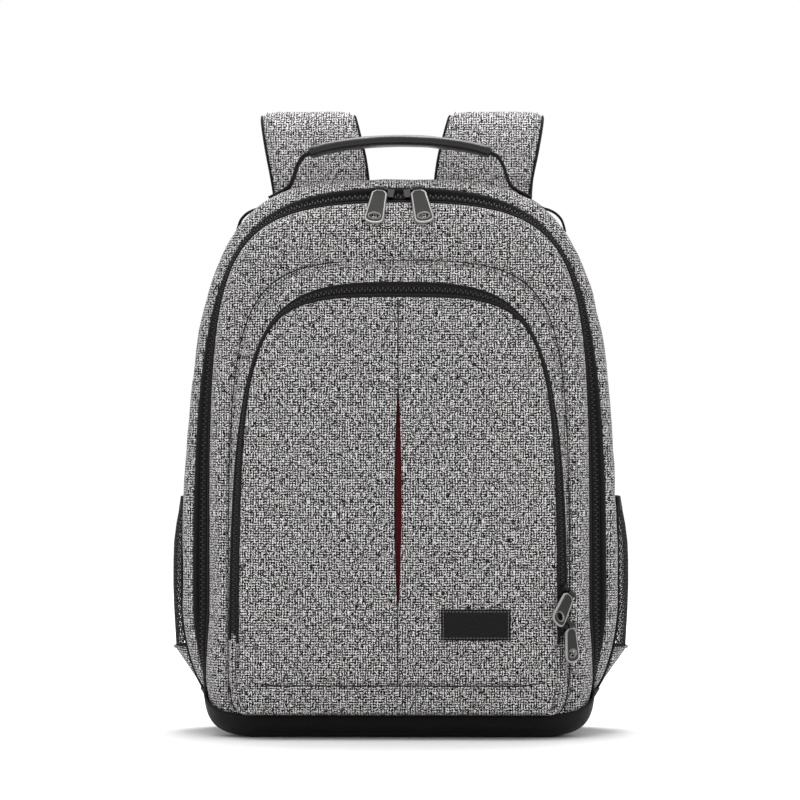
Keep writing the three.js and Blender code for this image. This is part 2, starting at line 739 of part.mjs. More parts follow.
function sliderSolid(plateLong, plateWide, barShift) {
  const plate = block(-plateLong / 2, plateLong / 2, -plateWide / 2, plateWide / 2, 0, plateThick);
  const bar = new THREE.CylinderGeometry(barRadius, barRadius, barHalf * 2, 16);
  bar.rotateZ(Math.PI / 2);
  bar.translate(barShift, 0, plateThick + barLift);
  let solid = plate.add(toManifold(bar));
  for (const end of [-1, 1]) {
    const middle = barShift + end * barHalf;
    const postTop = plateThick + barLift + barRadius + 0.2;
    solid = solid.add(block(middle - postHalf, middle + postHalf, -1.2, 1.2, 1, postTop));
  }
  return fromManifold(solid);
}

function tabSolid(long) {
  const { topHalf, lowHalf, thick, round, shoulder, holeUp, holeHigh } = tab;
  const start = knuckleOutside - 0.3;
  const shape = new THREE.Shape();
  shape.moveTo(-knuckleHalf, -start);
  shape.lineTo(-topHalf, -start - shoulder);
  shape.lineTo(-lowHalf, -long + round);
  shape.quadraticCurveTo(-lowHalf, -long, 0, -long);
  shape.quadraticCurveTo(lowHalf, -long, lowHalf, -long + round);
  shape.lineTo(topHalf, -start - shoulder);
  shape.lineTo(knuckleHalf, -start);
  shape.closePath();
  const hole = new THREE.Path();
  hole.absellipse(0, -long + holeUp, lowHalf * 0.62, holeHigh, 0, 2 * Math.PI, true);
  shape.holes.push(hole);
  const plate = new THREE.ExtrudeGeometry(shape, { depth: thick, bevelEnabled: false, curveSegments: 8 });
  plate.translate(0, 0, -thick / 2);
  const ringShape = new THREE.Shape();
  ringShape.absarc(0, 0, knuckleOutside, 0, 2 * Math.PI, false);
  const bore = new THREE.Path();
  bore.absarc(0, 0, knuckleInside, 0, 2 * Math.PI, true);
  ringShape.holes.push(bore);
  const knuckle = new THREE.ExtrudeGeometry(ringShape, {
    depth: knuckleHalf * 2,
    bevelEnabled: false,
    curveSegments: 10,
  });
  knuckle.translate(0, 0, -knuckleHalf);
  knuckle.rotateY(Math.PI / 2);
  return fromManifold(toManifold(plate).add(toManifold(knuckle)));
}

// Sliders: where each sits on its tape, its way off the tape, its tab's turn and length, its bar's shift
const pocketTapeX = outlines.face.half + 3;
const mainOff = [0, -0.752, 0.659];
const pocketOff = [0.74, -0.67, 0];
const sliders = [
  { number: 1, main: true, at: [-11, -25.6, 401.6], off: mainOff, turn: -9, long: 33, shift: -3 },
  { number: 2, main: true, at: [10.4, -25.6, 401.6], off: mainOff, turn: 11, long: 33, shift: 3 },
  { number: 3, main: false, at: [pocketTapeX, -82.2, 108], off: pocketOff, turn: 34, long: 27, shift: 0 },
  { number: 4, main: false, at: [pocketTapeX, -82.2, 84], off: pocketOff, turn: -6, long: 27, shift: 0 },
];
const mainPlate = { long: 14, wide: 8, lift: 0.45 };
const pocketPlate = { long: 9, wide: 9, lift: ledgeLift + pocketTape + 0.35 };
const mainHang = new THREE.Vector3(0, -0.6, -0.8);

for (const { number, main, at, off, turn, long, shift } of sliders) {
  const plate = main ? mainPlate : pocketPlate;
  const outward = new THREE.Vector3(...off).normalize();
  const level = main
    ? new THREE.Vector3(1, 0, 0)
    : outward.clone().cross(new THREE.Vector3(0, 0, 1)).normalize();
  const down = new THREE.Vector3().crossVectors(outward, level).normalize();
  if (down.z > 0) down.negate();
  const angle = THREE.MathUtils.degToRad(turn);
  const bar = level.clone().multiplyScalar(Math.cos(angle));
  bar.addScaledVector(down, -Math.sin(angle)).normalize();
  const across = new THREE.Vector3().crossVectors(outward, bar).normalize();
  const base = new THREE.Vector3(...lean(at)).addScaledVector(outward, plate.lift);
  const frame = new THREE.Matrix4().makeBasis(bar, across, outward).setPosition(base);
  add(`slider_${number}`, sliderSolid(plate.long, plate.wide, shift).applyMatrix4(frame), 'metal');

  // The tab lies along its plate on the pocket, and hangs in front of the lid at the top
  const hang = main ? mainHang.clone() : across.clone();
  if (hang.z > 0) hang.negate();
  hang.addScaledVector(bar, -hang.dot(bar)).normalize();
  const tabUp = hang.negate();
  const tabFace = new THREE.Vector3().crossVectors(bar, tabUp);
  const axisPoint = base.clone().addScaledVector(outward, plateThick + barLift).addScaledVector(bar, shift);
  const place = new THREE.Matrix4().makeBasis(bar, tabUp, tabFace).setPosition(axisPoint);
  add(`pull_${number}`, tabSolid(long).applyMatrix4(place), 'metal');
}

export default bag;
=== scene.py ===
"""Looks of a grey camera backpack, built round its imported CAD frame.

Lengths are in millimetres and become metres in make_piece. +Z is up, and the front faces -Y.
"""
import json
import math

import bpy
import numpy as np
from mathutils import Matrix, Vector, noise


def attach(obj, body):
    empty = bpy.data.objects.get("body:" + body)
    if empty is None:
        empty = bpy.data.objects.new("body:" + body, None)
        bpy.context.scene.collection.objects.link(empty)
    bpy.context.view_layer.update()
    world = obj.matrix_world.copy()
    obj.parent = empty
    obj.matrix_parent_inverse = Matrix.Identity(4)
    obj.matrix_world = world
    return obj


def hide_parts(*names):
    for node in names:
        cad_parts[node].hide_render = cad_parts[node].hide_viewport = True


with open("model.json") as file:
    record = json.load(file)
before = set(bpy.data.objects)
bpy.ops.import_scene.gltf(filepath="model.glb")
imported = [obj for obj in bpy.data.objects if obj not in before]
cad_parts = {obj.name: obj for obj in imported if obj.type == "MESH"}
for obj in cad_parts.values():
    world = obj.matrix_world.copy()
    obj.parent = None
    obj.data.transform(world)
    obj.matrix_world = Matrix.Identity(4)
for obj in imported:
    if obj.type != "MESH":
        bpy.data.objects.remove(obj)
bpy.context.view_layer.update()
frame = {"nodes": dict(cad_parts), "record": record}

MM = 0.001
FOOT = 1.9
RIM_Y = -20.0
LID_RIM_Y = -31.0
LID_FACE_Y = -62.0
POCKET_FACE_Y = -90.0
BACK_Y = 72.0
LEAN_FROM = 60.0
LID_LEAN = 0.04
POCKET_LEAN = 0.065
MIDDLE_Z = 190.0

# Outlines in X and Z, in millimetres, the same as in the CAD
OUTLINES = {
    "body": dict(half=163.2, top=414.4, widest=99.7, side=0.979, crown=0.723,
                 foot=FOOT, flat=105, drop=0.54, turn=0.55, spread=0),
    "rim": dict(half=154.8, top=408.0, widest=100.6, side=0.856, crown=0.855,
                foot=FOOT, flat=104, drop=0.54, turn=0.58, spread=0),
    "lid": dict(half=141.0, top=395.6, widest=89.2, side=0.885, crown=1.042,
                foot=FOOT, flat=100, drop=0.884, turn=1.12, spread=6),
    "lid_face": dict(half=127.0, top=366.0, widest=80.0, side=0.91, crown=1.03,
                     foot=FOOT + 9, flat=96, drop=0.8, turn=1, spread=3),
    "seam": dict(half=123.9, top=350.4, widest=60.0, side=0.944, crown=1.029,
                 foot=FOOT + 16.5, flat=112, drop=0.5, turn=0.9, spread=0),
    "pocket_zip": dict(half=122.8, top=334.6, widest=62.0, side=0.95, crown=0.814,
                       foot=FOOT + 16.5, flat=111, drop=0.5, turn=0.9, spread=0),
    "face": dict(half=117.1, top=325.2, widest=56.0, side=0.99, crown=0.955,
                 foot=FOOT + 17.5, flat=107, drop=0.5, turn=0.9, spread=0),
}
CROWN_STEPS = 64
CORNER_STEPS = 20
FINE_CROWN = 210
FINE_CORNER = 56
FOOT_STEPS = 14


def mix(first, second, share):
    """An outline between two others."""
    return {key: first[key] + (second[key] - first[key]) * share for key in first}


def inset(outline, depth):
    """The outline moved inwards by a depth."""
    changed = dict(outline)
    changed["half"] -= depth
    changed["top"] -= depth
    changed["foot"] += depth
    changed["flat"] -= depth * 0.5
    return changed


def bezier(a, b, c, d, t):
    u = 1 - t
    return a * u**3 + 3 * b * u * u * t + 3 * c * u * t * t + d * t**3


def loop_points(outline, crown_steps=CROWN_STEPS, corner_steps=CORNER_STEPS, foot_steps=FOOT_STEPS):
    """The closed outline as an array of X and Z, from the middle of the foot round by +X."""
    o = outline
    flat_t = np.linspace(0, 1, foot_steps, endpoint=False)
    corner_t = np.linspace(0, 1, corner_steps, endpoint=False)
    crown_t = np.linspace(0, 1, crown_steps + 1)
    turn_x = o["flat"] + (o["half"] - o["flat"]) * o["turn"]
    drop_z = o["widest"] - (o["widest"] - o["foot"]) * o["drop"]
    side_z = o["widest"] + o["side"] * (o["top"] - o["widest"])
    x = np.concatenate([
        flat_t * o["flat"],
        bezier(o["flat"], turn_x, o["half"] + o["spread"], o["half"], corner_t),
        bezier(o["half"], o["half"], o["crown"] * o["half"], 0, crown_t),
    ])
    z = np.concatenate([
        np.full(foot_steps, o["foot"]),
        bezier(o["foot"], o["foot"], drop_z, o["widest"], corner_t),
        bezier(o["widest"], side_z, o["top"], o["top"], crown_t),
    ])
    right = np.stack([x, z], 1)
    left = right[1:-1][::-1] * [-1, 1]
    return np.concatenate([right, left])


def at_depth(points, y):
    """Points of X and Z set at a depth, as points in 3D."""
    return np.stack([points[:, 0], np.full(len(points), float(y)), points[:, 1]], 1)


def ring(outline, y):
    """The closed ring of an outline at a depth."""
    return at_depth(loop_points(outline), y)


def ease(values, start, end):
    """0 before the start, 1 past the end and even in between."""
    return np.clip((values - start) / (end - start), 0, 1)


def lean(points):
    """The lid leans back and the pocket on it a little more, as in the CAD."""
    points = np.array(points, float)
    lid_share = ease(points[..., 1], LID_RIM_Y, LID_FACE_Y)
    pocket_share = ease(points[..., 1], LID_FACE_Y, POCKET_FACE_Y)
    push = LID_LEAN * lid_share + (POCKET_LEAN - LID_LEAN) * pocket_share
    points[..., 1] += push * (points[..., 2] - LEAN_FROM)
    return points


def smooth_table(rows, steps):
    """Rows of numbers with points put in between on a Catmull-Rom curve."""
    rows = np.array(rows, float)
    padded = np.concatenate([rows[:1] * 2 - rows[1:2], rows, rows[-1:] * 2 - rows[-2:-1]])
    out = []
    for at in range(1, len(padded) - 2):
        a, b, c, d = padded[at - 1:at + 3]
        for t in np.linspace(0, 1, steps, endpoint=False):
            square = (2 * a - 5 * b + 4 * c - d) * t**2
            cube = (3 * b - a - 3 * c + d) * t**3
            out.append(0.5 * (2 * b + (c - a) * t + square + cube))
    out.append(rows[-1])
    return np.array(out)


# Meshes
FACING_WEIGHTS = (1.0, 1.15, 1.0)


def box_uv(mesh):
    """Maps each face flat along the axis that it faces most, in metres: the weave keeps its size."""
    layer = mesh.uv_layers.new(name="flat")
    count = len(mesh.loops)
    vertex_of = np.empty(count, np.int64)
    mesh.loops.foreach_get("vertex_index", vertex_of)
    points = np.empty(len(mesh.vertices) * 3)
    mesh.vertices.foreach_get("co", points)
    points = points.reshape(-1, 3)
    normals = np.empty(len(mesh.polygons) * 3)
    mesh.polygons.foreach_get("normal", normals)
    normals = np.abs(normals.reshape(-1, 3)) * FACING_WEIGHTS
    sizes = np.empty(len(mesh.polygons), np.int64)
    mesh.polygons.foreach_get("loop_total", sizes)
    main = np.repeat(np.argmax(normals, 1), sizes)
    place = points[vertex_of]
    uv = np.where(
        (main == 0)[:, None], place[:, [1, 2]],
        np.where((main == 1)[:, None], place[:, [0, 2]], place[:, [0, 1]]),
    )
    layer.data.foreach_set("uv", uv.ravel())


def make_piece(name, points, faces, material, slot_name, node=None, body="bag", smooth=True):
    """A mesh from points in millimetres that rides on a body and may replace CAD nodes."""
    mesh = bpy.data.meshes.new(name)
    mesh.from_pydata([tuple(p) for p in np.asarray(points, float) * MM], [], [tuple(f) for f in faces])
    mesh.validate()
    mesh.polygons.foreach_set("use_smooth", [smooth] * len(mesh.polygons))
    mesh.update()
    box_uv(mesh)
    mesh.materials.append(material)
    piece = bpy.data.objects.new(name, mesh)
    bpy.context.scene.collection.objects.link(piece)
    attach(piece, body)
    if node:
        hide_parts(*node)
    return piece


def grid_faces(rows, columns, around=True, start=0, turn=False):
    """Four-sided faces of a grid of points, closed round its columns or open."""
    faces = []
    last = columns if around else columns - 1
    for row in range(rows - 1):
        for at in range(last):
            side = (at + 1) % columns
            a = start + row * columns + at
            b = start + row * columns + side
            quad = (a, b, b + columns, a + columns)
            faces.append(quad[::-1] if turn else quad)
    return faces


def facing_out(points, faces):
    """The faces of a closed body, turned over where they face in."""
    total = 0.0
    for face in faces:
        a = points[face[0]]
        for at in range(1, len(face) - 1):
            total += np.dot(a, np.cross(points[face[at]], points[face[at + 1]]))
    return [face[::-1] for face in faces] if total < 0 else faces


def skin(rings, closed=False):
    """Points and faces of a closed body over rings of equal count."""
    rings = [np.asarray(r, float) for r in rings]
    columns = len(rings[0])
    points = np.concatenate(rings)
    faces = grid_faces(len(rings), columns)
    if closed:
        start = (len(rings) - 1) * columns
        for at in range(columns):
            side = (at + 1) % columns
            faces.append((start + at, start + side, side, at))
    else:
        faces.append(tuple(range(columns))[::-1])
        faces.append(tuple((len(rings) - 1) * columns + at for at in range(columns)))
    return points, facing_out(points, faces)


def sheet_solid(outer, inner):
    """Points and faces of a closed sheet between two grids of equal size."""
    outer = np.asarray(outer, float)
    inner = np.asarray(inner, float)
    rows, columns = outer.shape[:2]
    shift = rows * columns
    points = np.concatenate([outer.reshape(-1, 3), inner.reshape(-1, 3)])
    faces = grid_faces(rows, columns, around=False)
    faces += grid_faces(rows, columns, around=False, start=shift, turn=True)
    for at in range(columns - 1):
        end = (rows - 1) * columns + at
        faces.append((at, shift + at, shift + at + 1, at + 1))
        faces.append((end, end + 1, shift + end + 1, shift + end))
    for row in range(rows - 1):
        a = row * columns
        b = a + columns - 1
        faces.append((a, a + columns, shift + a + columns, shift + a))
        faces.append((b, shift + b, shift + b + columns, b + columns))
    return points, facing_out(points, faces)


def join(parts):
    """One list of points and faces from several."""
    points = []
    faces = []
    start = 0
    for part_points, part_faces in parts:
        points.append(np.asarray(part_points, float))
        faces += [tuple(v + start for v in face) for face in part_faces]
        start += len(part_points)
    return np.concatenate(points), faces


def unit(v):
    """Vectors of length 1 along their last axis."""
    v = np.asarray(v, float)
    return v / np.maximum(np.linalg.norm(v, axis=-1, keepdims=True), 1e-9)


def path_ways(path, closed=False):
    """The way along a path at each of its points."""
    path = np.asarray(path, float)
    if closed:
        return unit(np.roll(path, -1, 0) - np.roll(path, 1, 0))
    return unit(np.gradient(path, axis=0))


def tube(path, radius, hint, sides=8, closed=False, flat=1.0):
    """A round cord along a path; hint is a way that is never along it."""
    path = np.asarray(path, float)
    along = path_ways(path, closed)
    hint = np.broadcast_to(np.asarray(hint, float), path.shape)
    across = unit(np.cross(along, hint))
    up = unit(np.cross(across, along))
    rings = []
    for corner in range(sides):
        angle = 2 * math.pi * corner / sides
        rings.append(path + across * radius * math.cos(angle) + up * radius * flat * math.sin(angle))
    rings = np.stack(rings, 1)
    return skin(list(rings), closed)


def spread(values, path, count):
    """Values given at a path's points, read off at even steps along it."""
    lengths = np.concatenate([[0], np.cumsum(np.linalg.norm(np.diff(path, axis=0), axis=1))])
    wanted = np.linspace(0, lengths[-1], count)
    return np.stack([np.interp(wanted, lengths, values[:, axis]) for axis in range(3)], 1)


def even_path(path, step):
    """The path's points moved to even steps along it."""
    length = np.linalg.norm(np.diff(path, axis=0), axis=1).sum()
    return spread(path, path, max(2, int(length / step)) + 1)


def small_boxes(path, outward, size, lift=0.0, share=1.0, sides=(0,)):
    """Little blocks along a path: size is (along, across, high), share narrows their tops."""
    along = path_ways(path)
    outward = unit(outward)
    across = unit(np.cross(along, outward))
    outward = unit(np.cross(across, along))
    parts = []
    corners = np.array([[a, b, c] for c in (0, 1) for b in (-0.5, 0.5) for a in (-0.5, 0.5)])
    box = [(0, 2, 3, 1), (4, 5, 7, 6), (0, 1, 5, 4), (2, 6, 7, 3), (0, 4, 6, 2), (1, 3, 7, 5)]
    narrow = np.where(corners[:, 2:] == 0, 1.0, share)
    reach = corners * size * np.concatenate([narrow, narrow, np.ones_like(narrow)], 1)
    for at in range(len(path)):
        middle = path[at] + outward[at] * lift + across[at] * sides[at % len(sides)]
        ways = np.array([along[at], across[at], outward[at]])
        parts.append((middle + reach @ ways, box))
    return join(parts)


def cord(name, path, radius, material, slot_name="grey_cloth", hint=(0, 1, 0), sides=8, flat=1.0):
    """A round piece along a path: piping, a binding or a seam."""
    make_piece(name, *tube(path, radius, hint, sides, flat=flat), material, slot_name)


def stitch_line(name, path, outward, material, slot_name="grey_cloth"):
    """Stitches along a path, on the side that outward points to."""
    path = even_path(path, 3.6)
    outward = np.broadcast_to(np.asarray(outward, float), path.shape)
    blocks = small_boxes(path, outward, (2.6, 0.55, 0.4), lift=-0.1, share=0.7)
    make_piece(name, *blocks, material, slot_name, smooth=False)


def squared_round(angle, cosine_power, sine_power):
    """Cosine and sine of a rounded box in place of those of a circle."""
    cosine = math.cos(angle)
    sine = math.sin(angle)
    return (
        math.copysign(abs(cosine) ** cosine_power, cosine),
        math.copysign(abs(sine) ** sine_power, sine),
    )


def wrinkle(points, outward, depth, size, seed, stretch):
    """Points moved along outward by smooth noise, in millimetres."""
    moved = np.array(points, float)
    scale = np.array(stretch, float) / size
    for at, point in enumerate(moved.reshape(-1, 3)):
        place = Vector(point * scale + seed)
        amount = noise.noise(place) * 0.7 + noise.noise(place * 2.3) * 0.3
        moved.reshape(-1, 3)[at] += outward.reshape(-1, 3)[at] * amount * depth
    return moved


# Materials
def new_material(name, colour, roughness, metallic=0.0, sheen=0.0, specular=0.5):
    """A material with its node tree and shader."""
    material = bpy.data.materials.new(name)
    material.use_nodes = True
    shader = material.node_tree.nodes["Principled BSDF"]
    shader.inputs["Base Color"].default_value = (*colour, 1)
    shader.inputs["Roughness"].default_value = roughness
    shader.inputs["Metallic"].default_value = metallic
    shader.inputs["Sheen Weight"].default_value = sheen
    shader.inputs["Sheen Roughness"].default_value = 0.5
    shader.inputs["Specular IOR Level"].default_value = specular
    return material, material.node_tree, shader


def stretched_noise(tree, source, scale, detail=1.0, offset=(0, 0, 0)):
    """Noise with its own scale along U and V."""
    mapping = tree.nodes.new("ShaderNodeMapping")
    mapping.inputs["Scale"].default_value = (*scale, 1)
    mapping.inputs["Location"].default_value = offset
    tree.links.new(source, mapping.inputs["Vector"])
    texture = tree.nodes.new("ShaderNodeTexNoise")
    texture.inputs["Scale"].default_value = 1.0
    texture.inputs["Detail"].default_value = detail
    texture.inputs["Roughness"].default_value = 0.6
    tree.links.new(mapping.outputs["Vector"], texture.inputs["Vector"])
    return texture.outputs["Fac"]


def math_node(tree, operation, first, second=0.0):
    """A math node on sockets or plain numbers."""
    node = tree.nodes.new("ShaderNodeMath")
    node.operation = operation
    for socket, value in zip(node.inputs, (first, second)):
        if isinstance(value, (int, float)):
            socket.default_value = value
        else:
            tree.links.new(value, socket)
    return node.outputs[0]


def ramp(tree, fac, stops):
    """Colours at their places along a value."""
    node = tree.nodes.new("ShaderNodeValToRGB")
    elements = node.color_ramp.elements
    for element, (position, colour) in zip(elements, (stops[0], stops[-1])):
        element.position = position
        element.color = (*colour, 1)
    for position, colour in stops[1:-1]:
        elements.new(position).color = (*colour, 1)
    tree.links.new(fac, node.inputs["Fac"])
    return node.outputs["Color"]


def add_bump(tree, shader, height, distance, strength):
    """Relief from a height."""
    bump = tree.nodes.new("ShaderNodeBump")
    bump.inputs["Distance"].default_value = distance
    bump.inputs["Strength"].default_value = strength
    tree.links.new(height, bump.inputs["Height"])
    tree.links.new(bump.outputs["Normal"], shader.inputs["Normal"])


def uv_source(tree):
    """The UV socket."""
    return tree.nodes.new("ShaderNodeTexCoord").outputs["UV"]


def rib_waves(tree, uv, pitch):
    """Sine ribs across U and across V."""
    parts = tree.nodes.new("ShaderNodeSeparateXYZ")
    tree.links.new(uv, parts.inputs[0])
    waves = []
    for axis in (0, 1):
        angle = math_node(tree, "MULTIPLY", parts.outputs[axis], 2 * math.pi / pitch)
        waves.append(math_node(tree, "SINE", angle))
    return waves


# Width of a thread of the grey cloth in metres, and how its slubs, grain and ribs are weighed
THREAD = 0.96e-3
SLUB_ACROSS = 1.5 / THREAD
WEFT_ALONG = 0.3 / THREAD
WARP_ALONG = 0.2 / THREAD
GRAIN = 1.2 / THREAD
SLUB_SHARE = 0.27
GRAIN_SHARE = 0.46
RIB_SHARE = 0.042
TONES_AT = (0.462, 0.522, 0.585)


def melange_cloth(name, *tones):
    """Plain weave of dark and light slub threads; the tones are its dark, middle and light."""
    material, tree, shader = new_material(name, tones[1], 0.95, sheen=0.03, specular=0.08)
    uv = uv_source(tree)
    weft = stretched_noise(tree, uv, (WEFT_ALONG, SLUB_ACROSS), 0.0)
    warp = stretched_noise(tree, uv, (SLUB_ACROSS, WARP_ALONG), 0.0, (7.3, 2.1, 0))
    grain = stretched_noise(tree, uv, (GRAIN, GRAIN), 0.0, (3.1, 5.7, 0))
    slubs = math_node(tree, "MULTIPLY", math_node(tree, "ADD", weft, warp), SLUB_SHARE)
    mottled = math_node(tree, "ADD", slubs, math_node(tree, "MULTIPLY", grain, GRAIN_SHARE))
    ribs = math_node(tree, "ADD", *rib_waves(tree, uv, 2 * THREAD))
    mixed = math_node(tree, "ADD", mottled, math_node(tree, "MULTIPLY", ribs, RIB_SHARE))
    tree.links.new(ramp(tree, mixed, list(zip(TONES_AT, tones))), shader.inputs["Base Color"])
    add_bump(tree, shader, mixed, 0.0006, 0.6)
    return material


def ribbed_cloth(name, colour, pitch, roughness=0.75, sheen=0.03, depth=0.0003):
    """Plain cloth or webbing with fine ribs both ways."""
    material, tree, shader = new_material(name, colour, roughness, sheen=sheen, specular=0.06)
    uv = uv_source(tree)
    height = math_node(tree, "MULTIPLY", *rib_waves(tree, uv, pitch))
    fine = stretched_noise(tree, uv, (900, 900), 2.0)
    total = math_node(tree, "ADD", math_node(tree, "MULTIPLY", height, 0.35), fine)
    low = tuple(c * 0.6 for c in colour)
    high = tuple(c * 1.7 + 0.004 for c in colour)
    tree.links.new(ramp(tree, total, [(0.2, low), (0.9, high)]), shader.inputs["Base Color"])
    add_bump(tree, shader, total, depth, 0.7)
    return material


def plain_material(name, colour, roughness, metallic=0.0, grain=500, depth=0.0001, specular=0.5):
    """A smooth material with a faint grain."""
    material, tree, shader = new_material(name, colour, roughness, metallic, specular=specular)
    height = stretched_noise(tree, uv_source(tree), (grain, grain), 3.0)
    add_bump(tree, shader, height, depth, 0.5)
    return material


GREY = melange_cloth("grey_melange", (0.002, 0.002, 0.002), (0.072, 0.0689, 0.0695), (0.70, 0.686, 0.686))
# The straps use the same grey cloth in lighter tones: painted light, for the stronger light that falls on
# the straps
STRAP_GREY_PAINTED_LIGHT = melange_cloth(
    "strap_melange", (0.012, 0.0115, 0.0115), (0.23, 0.222, 0.223), (0.82, 0.805, 0.805))
BLACK_TAPE = ribbed_cloth("zip_tape", (0.011, 0.010, 0.0105), 0.0011, 0.85, 0.02)
WEBBING = ribbed_cloth("black_webbing", (0.011, 0.011, 0.011), 0.0016, 0.7, 0.04, 0.0004)
BINDING = ribbed_cloth("black_binding", (0.010, 0.0095, 0.0095), 0.0009)
BOOT = ribbed_cloth("boot_cloth", (0.0085, 0.0085, 0.0082), 0.0008, 0.55, 0.02, 0.00012)
NET = ribbed_cloth("net_thread", (0.009, 0.0085, 0.009), 0.0007, 0.7, 0.04, 0.0001)
RED = ribbed_cloth("red_cloth", (0.06, 0.006, 0.008), 0.0009, 0.8, 0.02)
LABEL = ribbed_cloth("label_weave", (0.008, 0.008, 0.008), 0.0006, 0.6, 0.02, 0.0001)
THREAD_GREY = ribbed_cloth("grey_thread", (0.17, 0.165, 0.165), 0.0006, 0.8, 0.04, 0.0001)
# Black thread of the seams; also used for the painted shade along the pocket's crease
THREAD_BLACK_AND_CREASE_SHADE = ribbed_cloth("black_thread_and_crease_shade", (0.012, 0.012, 0.012), 0.0006, 0.7, 0.04, 0.0001)
GRIP = plain_material("grip_wrap", (0.008, 0.0078, 0.008), 0.42, 0, 420, 0.00025, 0.35)
COIL = plain_material("zip_coil", (0.013, 0.0127, 0.0127), 0.5, 0, 900, 0.00005, 0.4)
METAL = plain_material("zip_metal", (0.022, 0.0215, 0.021), 0.4, 0.8, 700, 0.00004)
# The tab rims are a far lighter metal than the tabs: a painted highlight along their raised edges
RIM_METAL_PAINTED_HIGHLIGHT = plain_material("zip_metal_rim_painted_highlight", (0.30, 0.295, 0.285), 0.34, 0.85, 700, 0.00002)
PLASTIC = plain_material("buckle_plastic", (0.012, 0.012, 0.012), 0.5, 0, 900, 0.00004, 0.3)


# Camera at the photograph's viewing angle
CAMERA_FAR = 3.5
CAMERA_TURN = math.radians(1.0)
CAMERA_HEIGHT = 0.249
FRAME_WIDTH = 0.6016
SENSOR_WIDTH = 36
camera_data = bpy.data.cameras.new("camera")
camera_data.sensor_width = SENSOR_WIDTH
camera_data.lens = SENSOR_WIDTH * (CAMERA_FAR + 0.01) / FRAME_WIDTH
camera_data.clip_end = 50
camera = bpy.data.objects.new("camera", camera_data)
bpy.context.scene.collection.objects.link(camera)
camera.location = (CAMERA_FAR * math.sin(CAMERA_TURN), -CAMERA_FAR * math.cos(CAMERA_TURN), CAMERA_HEIGHT)
camera.rotation_euler = (math.radians(90), 0, CAMERA_TURN)
bpy.context.scene.camera = camera


SIDES = ((-1, "left"), (1, "right"))

# Tub with its back panel
TUB_ROWS = [
    # y, share of the body outline, inset
    (-20, 0.0, 0.0), (-17, 0.45, 0.0), (-9, 0.88, 0.0), (4, 1.0, 0.0), (30, 1.0, 1.2),
    (52, 1.0, 0.2), (63, 1.0, 2.0), (69.5, 1.0, 6.0), (72, 1.0, 14.0),
]


def tub_outline(y, share, depth):
    """Outline of the tub at a depth; all but its back end keeps one foot height."""
    outline = inset(mix(OUTLINES["rim"], OUTLINES["body"], min(1.0, max(0.0, share))), depth)
    if y < 60 and depth < 2:
        outline["foot"] = FOOT
    return outline


TRAY_HIDES = (40.0, 30.0)
TRAY_INSET = 1.3


def under_tray(points):
    """Points below the tray's edge moved in, so that the cloth stays inside the tray."""
    moved = np.array(points, float)
    share = ease(moved[..., 2], *TRAY_HIDES)
    moved[..., 0] -= np.sign(moved[..., 0]) * share * TRAY_INSET
    moved[..., 2] += ease(moved[..., 2], 12, 2) * TRAY_INSET
    return moved


def outward_of(points):
    """Rough outward way of each point of a ring, across Y."""
    out = np.zeros_like(points)
    out[..., [0, 2]] = unit(points[..., [0, 2]] - np.array([0, MIDDLE_Z]))
    return out


def fade_at_foot(points, low=30.0, high=90.0):
    """Keeps the foot of the cloth, where the tray holds it, free of dents."""
    return ease(points[..., 2], low, high)[..., None]


# Dents in padded cloth: depth, size, seed and stretch of the noise
TUB_DENTS = [(2.6, 46.0, 3.0, (1, 0.6, 1)), (1.1, 17.0, 11.0, (1, 0.35, 1))]
LID_DENTS = [(2.0, 52.0, 21.0, (1, 1, 1)), (0.9, 19.0, 31.0, (1, 1, 1))]
TUB_INSIDE = [(-20, 0, 5), (-9, 0.88, 6), (4, 1, 6), (50, 1, 6), (61, 1, 11), (64, 1, 24)]
BACK_SHARES = (0.03, 0.25, 0.5, 0.75, 0.9, 0.97)


def build_tub():
    """Tub with a dented wall, a flat back panel and its hollow."""
    rows = smooth_table(TUB_ROWS, 5)
    moved = np.array([ring(tub_outline(*row), row[0]) for row in rows])
    share = ease(moved[..., 1], RIM_Y, RIM_Y + 25) * ease(moved[..., 1], BACK_Y, BACK_Y - 10)
    share = share[..., None] * fade_at_foot(moved)
    way = outward_of(moved) * share
    for dent in TUB_DENTS:
        moved = wrinkle(moved, way, *dent)
    inside = [ring(tub_outline(*row), row[0]) for row in TUB_INSIDE]
    back = moved[-1]
    middle = back.mean(0)
    panel = [middle + (back - middle) * share for share in BACK_SHARES]
    rings = panel + [under_tray(part) for part in moved[::-1]] + inside
    piece = make_piece("tub", *skin(rings), GREY, "grey_cloth", ["rear_shell"])


# Lid
LID_ROWS = [
    # y, share of the face outline
    (-31, 0.0), (-37, 0.02), (-46, 0.16), (-54, 0.42), (-59.5, 0.74), (-62, 1.0),
]


def lid_outline(share, depth=0.0):
    """Outline of the lid from its rim, share 0, to its face, share 1."""
    share = min(1.0, max(0.0, share))
    outline = mix(OUTLINES["lid"], OUTLINES["lid_face"], share)
    rise = ease(share, 0.16, 1.0) ** 1.6 * (OUTLINES["lid_face"]["foot"] - FOOT)
    outline["foot"] = FOOT + rise
    return inset(outline, depth)


# y, share of the face outline and inset of the lid's hollow
LID_INSIDE = [(-31, 0.0, 5), (-44, 0.16, 5), (-52, 0.5, 5), (-57, 1.0, 3)]
LID_SHARES = (0.03, 0.4, 0.7, 0.86, 0.93, 0.97)


